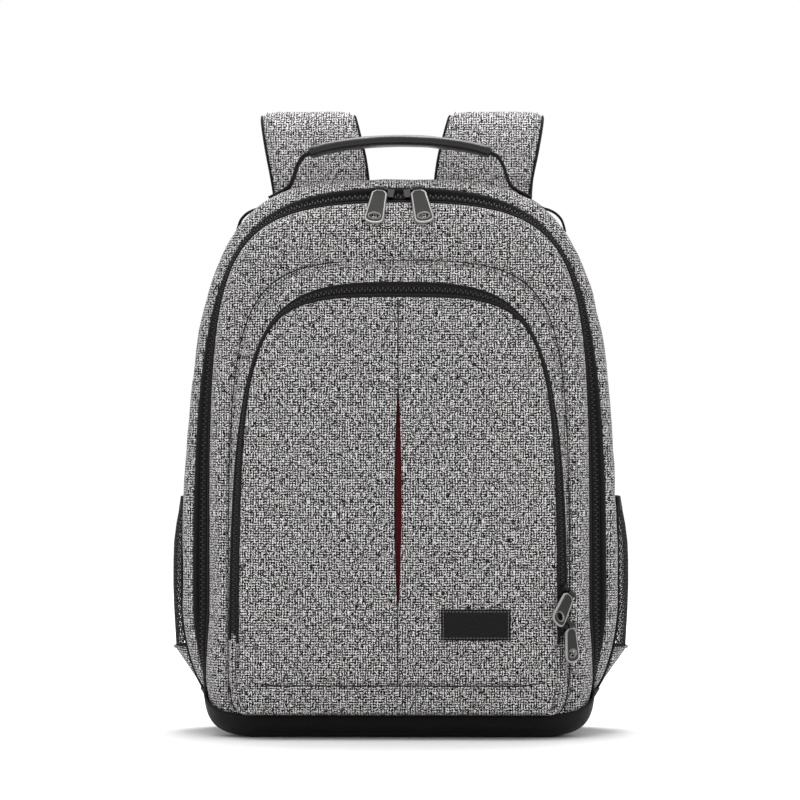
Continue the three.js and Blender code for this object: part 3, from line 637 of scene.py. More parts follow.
def build_lid():
    """Lid with a dented front and its hollow."""
    rows = smooth_table(LID_ROWS, 7)
    moved = np.array([ring(lid_outline(share), y) for y, share in rows])
    share = ease(moved[..., 1], LID_RIM_Y, LID_RIM_Y - 14)[..., None] * fade_at_foot(moved, 20, 70)
    front = unit(outward_of(moved) * 0.6 - [0, 1, 0])
    for dent in LID_DENTS:
        moved = wrinkle(moved, front * share, *dent)
    last = moved[-1]
    middle = np.array([0, LID_FACE_Y, MIDDLE_Z])
    face = [middle + (last - middle) * share for share in LID_SHARES]
    inside = [ring(lid_outline(share, depth), y) for y, share, depth in LID_INSIDE]
    points, faces = skin(face + [under_tray(part) for part in moved[::-1]] + inside)
    piece = make_piece("lid", lean(points), faces, GREY, "grey_cloth", ["front_lid"])


def fine_arch(outline, lift):
    """The arch of an outline in fine steps, from the right foot over to the left."""
    points = loop_points(inset(outline, -lift), FINE_CROWN, FINE_CORNER)
    return points[FOOT_STEPS:len(points) - FOOT_STEPS + 1]


def arc(outline, y, low, lift=0.0):
    """The arch of an outline above a height, as points in 3D."""
    keep = fine_arch(outline, lift)
    return at_depth(keep[keep[:, 1] >= low], y)


def matched_arcs(first, second, y_first, y_second, low, lift=0.0):
    """Two arches with one point for each point of the other."""
    a = fine_arch(first, lift)
    b = fine_arch(second, lift)
    keep = np.minimum(a[:, 1], b[:, 1]) >= low
    return at_depth(a[keep], y_first), at_depth(b[keep], y_second)


def between(first, second, share):
    """Points at a share of the way from one list to another."""
    return first + (second - first) * share


# Zips: tape, coil, and the cloth edges beside it
def zip_band(name, first, second, thick, coil_at, coil_wide, pitch, dip):
    """Tape from one edge to the other with a coil; first and second are matched arches."""
    outward = unit(np.cross(unit(second - first), path_ways(first)))
    if np.mean(outward[:, 1]) > 0:
        outward = -outward
    shares = np.linspace(0, 1, 9)
    sag = [dip * math.sin(math.pi * share) for share in shares]
    outer = np.array([between(first, second, s) - outward * low for s, low in zip(shares, sag)])
    tape = sheet_solid(outer, outer - outward[None] * thick)
    make_piece(f"{name}_tape", *tape, BLACK_TAPE, "zip_tape", [name])
    source = between(first, second, coil_at)
    coil = even_path(source, pitch)
    out_path = spread(outward, source, len(coil))
    tooth = (pitch * 0.62, coil_wide * 0.72, 1.25)
    offsets = (-coil_wide * 0.16, coil_wide * 0.16)
    teeth = small_boxes(coil - out_path * dip, out_path, tooth, lift=-0.1, share=0.62, sides=offsets)
    make_piece(f"{name}_coil", *teeth, COIL, "zip_tape", smooth=False)
    for number, share in enumerate((coil_at - 0.17, coil_at + 0.17)):
        edge = between(first, second, share) - outward * (dip * 0.6 - 0.15)
        cord(f"{name}_tape_edge_{number}", edge, 0.55, BLACK_TAPE, "zip_tape", outward, 6)


def build_main_zip():
    """Main zip, the piping round the tub's rim and the binding on both sides of the tape."""
    first, second = matched_arcs(OUTLINES["rim"], OUTLINES["lid"], RIM_Y - 0.3, LID_RIM_Y + 0.3, 26)
    zip_band("main_zip", first, second, 1.6, 0.58, 5.0, 2.0, 0.9)
    rim = OUTLINES["rim"]
    cord("tub_piping", arc(rim, RIM_Y - 0.2, 28, -0.3), 1.5, GREY, sides=10)
    cord("tub_rim_binding", arc(rim, RIM_Y - 2.0, 28, -3.0), 2.3, BINDING, "zip_tape")
    edge = lean(arc(OUTLINES["lid"], LID_RIM_Y - 1.0, 28, 0.4))
    cord("lid_piping", edge, 1.2, BINDING, "zip_tape", sides=10)


POCKET_BULGE = 3.0
FACE_MIDDLE_Z = 178.0
FACE_HALF_HIGH = 152.0
FACE_HALF_WIDE = 110.0


def face_front(x, z):
    """Y of the pocket's face: flat in the CAD, a little crowned here."""
    x = np.asarray(x, float)
    z = np.asarray(z, float)
    across = np.clip(1 - (x / FACE_HALF_WIDE) ** 2, 0, 1)
    high = np.clip(1 - ((z - FACE_MIDDLE_Z) / FACE_HALF_HIGH) ** 2, 0, 1)
    return POCKET_FACE_Y + POCKET_LEAN * (z - LEAN_FROM) - POCKET_BULGE * across**0.7 * high**0.7


POCKET_ROWS = [
    # y, first outline, second outline, share, inset
    (-62.3, "seam", "pocket_zip", 0.0, 0.0),
    (-66.5, "seam", "pocket_zip", 0.15, -0.5),
    (-71.0, "seam", "pocket_zip", 0.42, -0.7),
    (-75.5, "seam", "pocket_zip", 0.75, -0.5),
    (-79.0, "seam", "pocket_zip", 1.0, 0.0),
    (-80.2, "pocket_zip", "face", 0.25, 1.4),
    (-84.0, "pocket_zip", "face", 0.8, 1.2),
    (-85.5, "face", "face", 0.0, 0.0),
    (-87.6, "face", "face", 0.0, 1.3),
    (-89.2, "face", "face", 0.0, 4.2),
    (-90.0, "face", "face", 0.0, 9.5),
]


def pocket_ring(row):
    """Ring of the pocket's wall from a row of the table."""
    y, first, second, share, depth = row
    return ring(inset(mix(OUTLINES[first], OUTLINES[second], share), depth), y)


# y, outline and inset of the pocket's hollow
POCKET_INSIDE = [
    (-62.3, "seam", 2.2), (-70, "seam", 5.0), (-78.5, "pocket_zip", 2.8), (-84.0, "face", 3.4),
    (-87.6, "face", 10.0),
]
CREASES = (5.0, 15.0, 5.0, (1, 0.5, 1))


def build_pocket():
    """Pocket with a creased gusset, a crowned face, its hollow and the slit."""
    rings = [pocket_ring(row) for row in POCKET_ROWS]
    wall = []
    for at in range(len(rings) - 1):
        steps = 3 if at < 4 else 2
        wall += [between(rings[at], rings[at + 1], step / steps) for step in range(steps)]
    wall = np.array(wall + [rings[-1]])
    on_gusset = ease(wall[..., 1], -63, -67) * ease(wall[..., 1], -78.5, -74.5)
    wall = lean(wall)
    # creases on the gusset, most of them at the upper right, as in the photo
    side = 0.35 + 0.65 * ease(wall[..., 0], 20, 80)
    share = ease(wall[..., 2], 190, 280) * side * on_gusset
    wall = wrinkle(wall, outward_of(wall) * share[..., None], *CREASES)
    last = wall[-1]
    middle = np.array([0, 0, FACE_MIDDLE_Z])
    face = []
    for share in np.linspace(0.02, 0.97, 26):
        inner = middle + (last - middle) * share
        blend = min(1.0, (1 - share) / 0.12)
        flat = last[:, 1] + (inner[:, 2] - last[:, 2]) * POCKET_LEAN
        inner[:, 1] = flat * (1 - blend) + face_front(inner[:, 0], inner[:, 2]) * blend
        face.append(inner)
    inside = [lean(ring(inset(OUTLINES[key], depth), y)) for y, key, depth in POCKET_INSIDE]
    rings = face + list(wall[::-1]) + inside
    cut_slit(make_piece("pocket", *skin(rings), GREY, "grey_cloth", ["pocket_shell"]))


SLIT_LOW = 87.0
SLIT_TOP = 265.0
SLIT_WIDTH = 5.8
RED_BEHIND = 3.5


def slit_half(z):
    """Half width of the slit at a height."""
    return SLIT_WIDTH * 0.5 * np.sin(np.pi * ease(z, SLIT_LOW, SLIT_TOP)) ** 0.8


def cut_slit(piece):
    """Cuts the slit through the pocket's face and leaves no cutter behind."""
    heights = np.linspace(SLIT_LOW, SLIT_TOP, 40)
    half = slit_half(heights) + 0.12
    rings = []
    for y in (-99.0, -74.0):
        right = at_depth(np.stack([half, heights], 1), y)
        rings.append(np.concatenate([right, right[::-1] * [-1, 1, 1]]))
    points, faces = skin(rings)
    mesh = bpy.data.meshes.new("slit_cutter")
    mesh.from_pydata([tuple(p) for p in points * MM], [], faces)
    cutter = bpy.data.objects.new("slit_cutter", mesh)
    bpy.context.scene.collection.objects.link(cutter)
    modifier = piece.modifiers.new("slit", "BOOLEAN")
    modifier.operation = "DIFFERENCE"
    modifier.solver = "EXACT"
    modifier.object = cutter
    bpy.context.view_layer.update()
    evaluated = piece.evaluated_get(bpy.context.evaluated_depsgraph_get())
    cut = bpy.data.meshes.new_from_object(evaluated)
    piece.modifiers.clear()
    old = piece.data
    piece.data = cut
    bpy.data.meshes.remove(old)
    bpy.data.objects.remove(cutter)
    bpy.data.meshes.remove(mesh)


def on_face(x, z, lift):
    """Points on the pocket's face, lifted off it."""
    x = np.asarray(x, float) + 0 * np.asarray(z, float)
    z = np.asarray(z, float) + 0 * x
    return np.stack([x, face_front(x, z) - lift, z], -1)


def build_slit():
    """Red cloth behind the slit, its folded edges and the seam above and below it."""
    heights = np.linspace(SLIT_LOW - 8, SLIT_TOP + 8, 60)
    grid_x, grid_z = np.meshgrid(np.linspace(-9, 9, 7), heights)
    panel = sheet_solid(on_face(grid_x, grid_z, -RED_BEHIND), on_face(grid_x, grid_z, -RED_BEHIND - 1.2))
    make_piece("slit_panel_cloth", *panel, RED, "red_cloth", ["slit_panel"])
    heights = np.linspace(SLIT_LOW + 1, SLIT_TOP - 1, 90)
    edges = []
    for side in (-1, 1):
        edge = on_face(side * (slit_half(heights) + 0.45), heights, -0.35)
        edges.append(tube(edge, 0.7, (0, 1, 0), 8))
    make_piece("slit_edges", *join(edges), GREY, "grey_cloth")
    seams = []
    for low, high in ((SLIT_TOP - 2, 324.0), (42.0, SLIT_LOW + 2)):
        seams.append(tube(on_face(0.0, np.linspace(low, high, 60), 0.0), 0.42, (0, 1, 0), 6))
    make_piece("face_seam", *join(seams), THREAD_BLACK_AND_CREASE_SHADE, "grey_cloth")


FACE_SEAM_Z = 40.6


def build_lower_seam():
    """Fold and seam across the foot of the pocket's face."""
    x = np.linspace(-114, 114, 120)
    z = FACE_SEAM_Z + 4.5 * ease(np.abs(x), 84, 114) ** 2
    path = on_face(x, z, 0.1)
    path[:, 1] += np.maximum(0, np.abs(x) - 104) ** 1.6 * 0.06
    cord("lower_fold", path + [0, -0.1, 0.9], 1.0, GREY, flat=0.8)
    cord("lower_seam", path + [0, 0.1, -0.4], 0.5, THREAD_BLACK_AND_CREASE_SHADE, sides=6)


def build_pocket_zip():
    """Pocket zip with its bindings, and the sewn ridge that goes on below its ends."""
    first, second = matched_arcs(OUTLINES["pocket_zip"], OUTLINES["face"], -79.6, -85.8, 71, 0.5)
    zip_band("pocket_zip", lean(first), lean(second), 0.9, 0.5, 4.4, 1.9, 0.7)
    for word, key, y, lift in (("back", "pocket_zip", -78.9, 0.5), ("front", "face", -86.0, 0.45)):
        edge = lean(arc(OUTLINES[key], y, 70, lift))
        cord(f"pocket_zip_{word}_binding", edge, 1.15, BINDING, "zip_tape")
    points = loop_points(inset(OUTLINES["face"], -0.4))
    for side, name in SIDES:
        low = (points[:, 1] > 22) & (points[:, 1] < 72)
        ridge = points[low & (points[:, 0] * side > 104)]
        ridge = lean(at_depth(ridge[np.argsort(ridge[:, 1])], -86.2))
        cord(f"pocket_ridge_{name}", ridge, 1.0, GREY)
        cord(f"pocket_ridge_seam_{name}", ridge + [side * 1.1, 0.5, 0], 0.5, THREAD_BLACK_AND_CREASE_SHADE, sides=6)


def build_pocket_seam():
    """Piping, a black cord of painted shade along the crease, and stitches where the pocket is sewn to the
    lid.
    """
    seam = OUTLINES["seam"]
    cord("pocket_base_piping", lean(arc(seam, -62.6, 20, 0.4)), 1.1, GREY)
    # A black cord along the crease: painted shade in the fold, made with the black thread's material
    cord("pocket_crease", lean(arc(seam, -62.1, 20, 1.7)), 0.6, THREAD_BLACK_AND_CREASE_SHADE, sides=6)
    stitch_line("pocket_stitches", lean(arc(seam, -62.2, 24, 3.4)), (0, -1, 0), THREAD_GREY)


# Bare label
LABEL_LEFT = 31.5
LABEL_RIGHT = 82.5
LABEL_LOW = 73.4
LABEL_HIGH = 96.0
LABEL_EDGE = 1.7


def build_label():
    """Woven label with a line of stitches round it."""
    x = np.linspace(LABEL_LEFT, LABEL_RIGHT, 22)
    grid_x, grid_z = np.meshgrid(x, np.linspace(LABEL_LOW, LABEL_HIGH, 10))
    cloth = sheet_solid(on_face(grid_x, grid_z, 1.35), on_face(grid_x, grid_z, 0.3))
    make_piece("woven_label", *cloth, LABEL, "label_weave", ["label"])
    left, right = LABEL_LEFT + LABEL_EDGE, LABEL_RIGHT - LABEL_EDGE
    low, high = LABEL_LOW + LABEL_EDGE, LABEL_HIGH - LABEL_EDGE
    corners = [(left, low), (right, low), (right, high), (left, high)]
    t = np.linspace(0, 1, 30)
    parts = []
    for (x0, z0), (x1, z1) in zip(corners, corners[1:] + corners[:1]):
        line = even_path(on_face(x0 + (x1 - x0) * t, z0 + (z1 - z0) * t, 1.3), 2.4)
        outward = np.broadcast_to(np.array([0, -1.0, 0]), line.shape)
        parts.append(small_boxes(line, outward, (1.7, 0.4, 0.3), share=0.7))
    make_piece("label_stitches", *join(parts), THREAD_GREY, "label_weave", smooth=False)


# Base tray
TRAY_SIDE = 33.0
TRAY_FRONT = 18.0
TRAY_GAP = 0.4
TRAY_CLOTH = 1.6
TRAY_COLUMNS = 150


def lower_part(points, top):
    """The stretch of a closed ring below a height, from its left end to its right, in even steps."""
    right = points[:len(points) // 2 + 1]
    keep = int(np.argmax(right[:, 2] >= top))
    before, after = right[keep - 1], right[keep]
    share = (top - before[2]) / max(1e-6, after[2] - before[2])
    right = np.concatenate([right[:keep], [between(before, after, share)]])
    path = np.concatenate([right[1:][::-1] * [-1, 1, 1], right])
    return spread(path, path, TRAY_COLUMNS)


def raised_foot(outline, top, share):
    """The outline with its foot moved towards the top of the tray."""
    return {**outline, "foot": outline["foot"] + (top - outline["foot"]) * share}


def tray_rows(outset):
    """Rows of one face of the tray from the back panel to the front, off the cloth by outset."""
    rows = []
    back = smooth_table(TUB_ROWS, 4)[::-1]
    last = inset(tub_outline(*back[0]), -outset)
    for share in (0.98, 0.75, 0.5, 0.25):
        rows.append(lower_part(ring(raised_foot(last, TRAY_SIDE, share), BACK_Y + outset), TRAY_SIDE))
    for row in back:
        y = row[0] + outset * ease(row[0], BACK_Y - 12, BACK_Y)
        rows.append(lower_part(ring(inset(tub_outline(*row), -outset), y), TRAY_SIDE))
    for y, share in smooth_table(LID_ROWS, 5):
        top = TRAY_SIDE + (TRAY_FRONT - TRAY_SIDE) * ease(y, LID_RIM_Y, LID_FACE_Y) ** 0.8
        y = y - outset * ease(y, LID_FACE_Y + 12, LID_FACE_Y)
        rows.append(lower_part(lean(ring(inset(lid_outline(share), -outset), y)), top))
    face = inset(lid_outline(1.0), -outset)
    for share in (0.3, 0.6, 0.97):
        raised = raised_foot(face, TRAY_FRONT, share)
        rows.append(lower_part(lean(ring(raised, LID_FACE_Y - outset)), TRAY_FRONT))
    return np.array(rows)


def build_boot():
    """Base tray and the binding along its upper edges."""
    outer = tray_rows(TRAY_GAP + TRAY_CLOTH)
    inner = tray_rows(TRAY_GAP)
    outer[..., 2] = np.maximum(outer[..., 2], 0.0)
    make_piece("tray", *sheet_solid(outer, inner), BOOT, "boot_cloth", ["boot"])
    middle = between(outer, inner, 0.5)[4:-3]
    edges = [tube(middle[:, end], 1.0, (1, 0, 0), 8) for end in (0, -1)]
    make_piece("tray_binding", *join(edges), BINDING, "boot_cloth")


# Carry handle
HANDLE_Y = 13.0
GRIP_HALF = 68.0
GRIP_TOP = 444.0
GRIP_END = 434.5
HANDLE_FEET = [(98, 1.5), (92, 1.55), (86.8, 2.1)]
HANDLE_RISE = [(83.1, 410.4), (80.2, 417), (77.4, 425.4), (73.2, 432)]
WRAP_HIGH = 4.3
WRAP_DEEP = 15.4
WRAP_CLOTH = 1.5


def crown_at(x, lift):
    """Point in X and Z off the body outline, at a given X near its crown."""
    steps = 4000
    t = np.linspace(0.3, 1, steps)
    half, top, widest = (OUTLINES["body"][key] for key in ("half", "top", "widest"))
    xs = bezier(half, half, OUTLINES["body"]["crown"] * half, 0, t)
    zs = bezier(widest, widest + OUTLINES["body"]["side"] * (top - widest), top, top, t)
    at = int(np.argmin(np.abs(xs - abs(x))))
    after = min(at + 9, steps - 1)
    run = unit(np.array([xs[after] - xs[at - 9], zs[after] - zs[at - 9]]))
    side = -1 if x < 0 else 1
    return np.array([side * (abs(x) + run[1] * lift), zs[at] - run[0] * lift])


def grip_line(count):
    """The arched middle line of the grip."""
    x = np.linspace(-GRIP_HALF, GRIP_HALF, count)
    z = GRIP_END + (GRIP_TOP - GRIP_END) * np.clip(1 - (x / GRIP_HALF) ** 2, 0, 1) ** 0.8
    return np.stack([x, np.full(count, HANDLE_Y), z], 1)


def strip(path, across, width, thick, columns=7):
    """A flat band along a path; across is the way of its width at each point."""
    across = unit(np.broadcast_to(np.asarray(across, float), path.shape))
    up = unit(np.cross(across, path_ways(path)))
    shares = np.linspace(-0.5, 0.5, columns)
    rounding = np.sqrt(1 - (np.abs(shares) * 2) ** 6)
    base = path[:, None] + across[:, None] * (shares * width)[:, None]
    half = up[:, None] * (thick / 2 * (0.35 + 0.65 * rounding))[:, None]
    return sheet_solid(base + half, base - half)


def build_handle():
    """Webbing sewn to the crown of the bag, and the wrap round its middle."""
    left = [crown_at(-x, lift) for x, lift in HANDLE_FEET]
    left += [np.array([-x, z]) for x, z in HANDLE_RISE]
    right = [point * [-1, 1] for point in left[::-1]]
    rows = smooth_table(left + list(grip_line(9)[:, [0, 2]]) + right, 8)
    band = strip(at_depth(rows, HANDLE_Y), (0, 1, 0), 25, 2.4, 9)
    make_piece("handle_band", *band, WEBBING, "webbing", ["handle_webbing"])
    line = grip_line(60)
    up = unit(np.cross(np.array([0, 1.0, 0]), path_ways(line)))
    up = np.where(up[:, 2:] < 0, -up, up)
    outer = []
    inner = []
    corners = 28
    for at in range(len(line)):
        end = 1 - 0.14 * ease(abs(line[at, 0]) / GRIP_HALF, 0.96, 1) ** 2
        outside = []
        inside = []
        for corner in range(corners):
            cosine, sine = squared_round(2 * math.pi * corner / corners, 0.62, 0.62)
            lump = 0.25 * noise.noise(Vector((line[at, 0] * 0.07, corner * 0.3, 2.0)))
            high = sine * (WRAP_HIGH + lump) * end
            outside.append(line[at] + up[at] * high + [0, cosine * WRAP_DEEP * end, 0])
            high = sine * (WRAP_HIGH - WRAP_CLOTH - 0.6)
            inside.append(line[at] + up[at] * high + [0, cosine * (WRAP_DEEP - WRAP_CLOTH), 0])
        outer.append(outside)
        inner.append(inside)
    make_piece("handle_wrap", *skin(outer + inner[::-1], True), GRIP, "grip_wrap", ["handle_grip"])
    seam = line + up * -2.4 + np.array([0, 0.5 - WRAP_DEEP, 0])
    stitch_line("handle_stitches", seam[3:-3], (0, -1, -0.4), THREAD_BLACK_AND_CREASE_SHADE, "grip_wrap")


# Shoulder straps
STRAP_ROWS = [
    # x, y, z, share of the width, share of the thickness
    (58, 78, 362, 0.9, 0.8), (59.5, 78, 392, 0.98, 1), (63.5, 79.5, 424, 1.01, 1), (68.4, 84, 447, 1, 1),
    (71.4, 92.5, 461, 0.99, 1), (72.6, 103, 466, 0.98, 1), (72, 113.5, 461, 0.98, 1),
    (69.2, 121, 446, 0.98, 1), (64.4, 125, 420, 0.98, 1), (63.5, 126.5, 380, 0.98, 1.05),
    (69.5, 125, 330, 0.98, 1.1), (80.5, 120.5, 275, 0.97, 1.1), (93, 113.5, 220, 0.92, 1.05),
    (103, 105.5, 170, 0.84, 1), (109, 98.5, 132, 0.69, 0.85),
]
STRAP_WIDTH = 74.0
STRAP_THICK = 11.0


def band_ways(path):
    """Ways across and up at each point of a band that stays level in X."""
    along = path_ways(path)
    across = unit(np.cross(along, np.cross(np.array([1.0, 0, 0]), along)))
    return across, unit(np.cross(across, along))


def strap_frames(side):
    """A strap's middle line, its ways across and up, and its width and thickness."""
    rows = smooth_table(STRAP_ROWS, 9)
    path = rows[:, :3] * [side, 1, 1]
    across, up = band_ways(path)
    return path, across, up, STRAP_WIDTH * rows[:, 3:4], STRAP_THICK * rows[:, 4:5]


def build_strap(side, name):
    """Padded strap with bound and stitched edges."""
    path, across, up, width, thick = strap_frames(side)
    rings = []
    corners = 40
    for at in range(len(path)):
        points = []
        for corner in range(corners):
            cosine, sine = squared_round(2 * math.pi * corner / corners, 0.32, 0.75)
            pull = 1 - 0.35 * abs(cosine) ** 9
            soft = 0.5 * noise.noise(Vector((at * 0.21, cosine * 2.2, side * 3.0)))
            high = sine * 0.5 * thick[at] * pull + soft * abs(sine)
            points.append(path[at] + across[at] * cosine * 0.49 * width[at] + up[at] * high)
        rings.append(points)
    # The strap's cloth is the grey cloth made lighter as painted light
    piece = make_piece(f"strap_pad_{name}", *skin(rings), STRAP_GREY_PAINTED_LIGHT, "grey_cloth", [f"strap_{name}"])
    for edge_name, way in (("inner", -1), ("outer", 1)):
        edge = path + across * way * 0.492 * width
        cord(f"strap_binding_{edge_name}_{name}", edge, 1.1, BINDING, "webbing", up, flat=2.6)
        for label, face in (("back", -1), ("front", 1)):
            line = path + across * way * 0.435 * width + up * face * 0.44 * thick
            stitches = even_path(line, 3.8)
            outward = spread(up * face, line, len(stitches))
            blocks = small_boxes(stitches, outward, (2.7, 0.5, 0.5), share=0.7)
            piece_name = f"strap_stitches_{edge_name}_{label}_{name}"
            make_piece(piece_name, *blocks, THREAD_GREY, "grey_cloth", smooth=False)


LOWER_ROWS = [
    (109.6, 94.4, 128), (112.6, 90.6, 107), (116.6, 84.4, 82), (119.8, 77.6, 61),
    (121.3, 74.3, 51), (122.2, 73.3, 44), (123.2, 73.3, 36),
]


def build_lower_webbing(side, name):
    """Webbing from the strap's buckle to the foot of the back panel."""
    path = smooth_table(LOWER_ROWS, 8) * [side, 1, 1]
    band = strip(path, band_ways(path)[0], 25, 1.8)
    make_piece(f"lower_band_{name}", *band, WEBBING, "webbing", [f"lower_webbing_{name}"])
    dress(f"buckle_{name}", PLASTIC)


def dress(node, material):
    """Gives a CAD piece a better material."""
    materials = frame["nodes"][node].data.materials
    materials.clear()
    materials.append(material)


# Side pockets
NET_FRONT = 3.0
NET_BACK = 61.0
# heights and half widths of the net, and of the cloth under it
NET_ROWS = [
    (63.2, 170.2), (76, 170.9), (92, 171.8), (110, 172.4), (128, 172.3), (142, 171.8), (156, 170.0),
    (168, 167.6), (176, 165.6),
]
FOOT_ROWS = [(34, 149.6), (44, 157.2), (54, 164.6), (60, 168.8), (62.9, 170.8)]
HEM_HIGH = 9.0
NET_ACROSS = 3.4
NET_UP = 3.0
NET_HOLE = 0.78
NET_THICK = 0.4
NET_STEPS = 40


def wall_at(z):
    """Half width of the tub at a height."""
    right = loop_points(OUTLINES["body"], 200, 80, 2)[:282]
    right = right[right[:, 1] > 3]
    return np.interp(z, right[:, 1], right[:, 0])


def net_surface(rows, s, z, lift=0.0):
    """Point of a side pocket at share s across and height z, on the +X side."""
    wall = wall_at(z) + 0.45
    stand = np.sin(np.pi * np.clip(s, 0, 1)) ** 0.55
    reach = np.maximum(0, np.interp(z, *np.transpose(rows)) - 1.3 - wall)
    y = between(NET_FRONT, NET_BACK, s)
    return np.stack([wall + reach * stand + 1.0 + lift, y, z + 0 * s], -1)


def pocket_sheet(rows, heights, outer_lifts, inner_lift):
    """Closed sheet of a side pocket between two heights."""
    s = np.linspace(0, 1, NET_STEPS)
    flat = [np.full(NET_STEPS, z) for z in heights]
    outer = [net_surface(rows, s, z, lift) for z, lift in zip(flat, outer_lifts)]
    inner = [net_surface(rows, s, z, inner_lift) for z in flat]
    return np.array(outer), np.array(inner)


def net_cell(s0, s1, z0, z1):
    """One cell of the net: a square with a round hole, closed all round."""
    angles = math.pi / 4 * np.arange(8) + math.pi / 8
    ways = np.stack([np.cos(angles), np.sin(angles)], 1)
    middle = np.array([s0 + s1, z0 + z1]) / 2
    half = np.array([s1 - s0, z1 - z0]) / 2
    square = middle + ways / np.abs(ways).max(1, keepdims=True) * half
    hole = middle + ways * NET_HOLE * half
    points = []
    for lift in (0.0, -NET_THICK):
        for loop in (square, hole):
            points.append(net_surface(NET_ROWS, np.clip(loop[:, 0], 0, 1), loop[:, 1], lift))
    faces = []
    for corner in range(8):
        after = (corner + 1) % 8
        faces.append((corner, after, 8 + after, 8 + corner))
        faces.append((16 + corner, 24 + corner, 24 + after, 16 + after))
        faces.append((8 + corner, 8 + after, 24 + after, 24 + corner))
        faces.append((corner, 16 + corner, 16 + after, after))
    return np.concatenate(points), faces


def build_side_pocket(side, name):
    """Net with its elastic hem and bound edges, and the grey cloth under it."""
    turn = np.array([side, 1, 1])
    low, high = NET_ROWS[0][0], NET_ROWS[-1][0] - HEM_HIGH * 0.7
    columns = int((NET_BACK - NET_FRONT) / NET_ACROSS)
    rows = int((high - low) / NET_UP)
    levels = np.linspace(low, high, rows + 1)
    parts = []
    for row in range(rows):
        shift = 0.5 if row % 2 else 0.0
        for column in range(-1, columns + 1):
            s0 = (column + shift) / columns
            s1 = s0 + 1 / columns
            if s1 > 0 and s0 < 1:
                points, faces = net_cell(s0, s1, levels[row], levels[row + 1])
                parts.append((points * turn, [face[::side] for face in faces]))
    net = join(parts)
    make_piece(f"net_{name}", *net, NET, "net", [f"mesh_pocket_{name}"], smooth=False)
    heights = np.linspace(NET_ROWS[-1][0] - HEM_HIGH, NET_ROWS[-1][0] + 0.5, 6)
    outer, inner = pocket_sheet(NET_ROWS, heights, 0.5 + 0.25 * np.sin(3 * heights), -0.8)
    make_piece(f"net_hem_{name}", *sheet_solid(outer * turn, inner * turn), WEBBING, "net")
    z = np.linspace(34, 176, 60)
    for label, y in (("front", NET_FRONT), ("back", NET_BACK)):
        edge = at_depth(np.stack([wall_at(z) + 0.6, z], 1), y) * turn
        cord(f"net_seam_{label}_{name}", edge, 1.1, BINDING, "net", (0, 1, 0.01))
    heights = np.linspace(FOOT_ROWS[0][0], FOOT_ROWS[-1][0] + 0.4, 14)
    outer, inner = pocket_sheet(FOOT_ROWS, heights, [0.4] * 14, -0.9)
    cloth = sheet_solid(outer * turn, inner * turn)
    make_piece(f"side_foot_{name}", *cloth, GREY, "grey_cloth", [f"pocket_foot_{name}"])
    top = np.full(NET_STEPS, FOOT_ROWS[-1][0])
    edge = net_surface(FOOT_ROWS, np.linspace(0, 1, NET_STEPS), top, 0.5) * turn
    cord(f"side_foot_piping_{name}", edge, 1.0, GREY, hint=(0, 0, 1))


# Webbing on the shoulders
SIDE_ROWS = [
    # x, lift off the bag
    (89, 0.35), (95, 0.35), (101, 0.35), (106.5, 0.4), (110, 2.2), (114, 3.8), (118, 3.8), (121, 2.2),
    (123.5, 0.4),
]
SIDE_Y = 50.0
SIDE_THICK = 1.6
SIDE_GAP = 0.25


def build_side_webbing(side, name):
    """Short webbing tab sewn over the shoulder of the bag."""
    points = [crown_at(side * x, lift + SIDE_THICK / 2 + SIDE_GAP) for x, lift in SIDE_ROWS]
    band = strip(at_depth(smooth_table(points, 6), SIDE_Y), (0, 1, 0), 18, SIDE_THICK)
    make_piece(f"side_band_{name}", *band, WEBBING, "webbing", [f"side_webbing_{name}"])


# Zip tabs: length of each, and the size of the hole
TAB_LONG = {1: 33.0, 2: 33.0, 3: 27.0, 4: 27.0}
TAB_TOP = 3.0
TAB_HALF = 7.0
RIM_INSET = 0.5
HOLE_HALF = 4.7
HOLE_HIGH = 3.3
HOLE_FROM_END = 6.6
POCKET_OFF = np.array([0.74, -0.67, 0.0])


def tab_outline(long):
    """Closed edge of a tab: across, and down from its bar."""
    half = TAB_HALF - RIM_INSET
    points = [(TAB_TOP - RIM_INSET, 2.0), (half - 1.5, 4.5), (half, long - 5)]
    for t in np.linspace(0, 1, 10)[1:]:
        x = half * (1 - t * t)
        y = (long - 5) * (1 - t) ** 2 + (long - RIM_INSET) * (2 * t - t * t)
        points.append((x, y))
    return np.array(points + [(-x, y) for x, y in points[-2::-1]])


def build_tabs():
    """Metal of the sliders and tabs, and the raised rims of each tab and its hole in a lighter metal that
    is a painted highlight.
    """
    joints = {joint["child"]: joint for joint in frame["record"]["behaviour"]["joints"]}
    angles = np.linspace(0, 2 * math.pi, 24, endpoint=False)
    for number, long in TAB_LONG.items():
        dress(f"slider_{number}", METAL)
        dress(f"pull_{number}", METAL)
        joint = joints[f"tab_{number}"]
        bar = unit(joint["axis"])
        hang = np.array([0, -0.6, -0.8]) if number < 3 else np.cross(POCKET_OFF, bar)
        if hang[2] > 0:
            hang = -hang
        hang = unit(hang - bar * np.dot(hang, bar))
        hole = np.stack([np.cos(angles) * HOLE_HALF, long - HOLE_FROM_END + np.sin(angles) * HOLE_HIGH], 1)
        rims = []
        for edge, radius in ((tab_outline(long), 1.0), (hole, 0.85)):
            path = np.array(joint["pos_m"]) / MM + edge @ np.array([bar, hang])
            rims.append(tube(path, radius, np.cross(bar, hang), 8, closed=True))
        # The rims' lighter metal is a painted highlight
        make_piece(f"tab_rim_{number}", *join(rims), RIM_METAL_PAINTED_HIGHLIGHT, "zip_metal", body=f"tab_{number}")


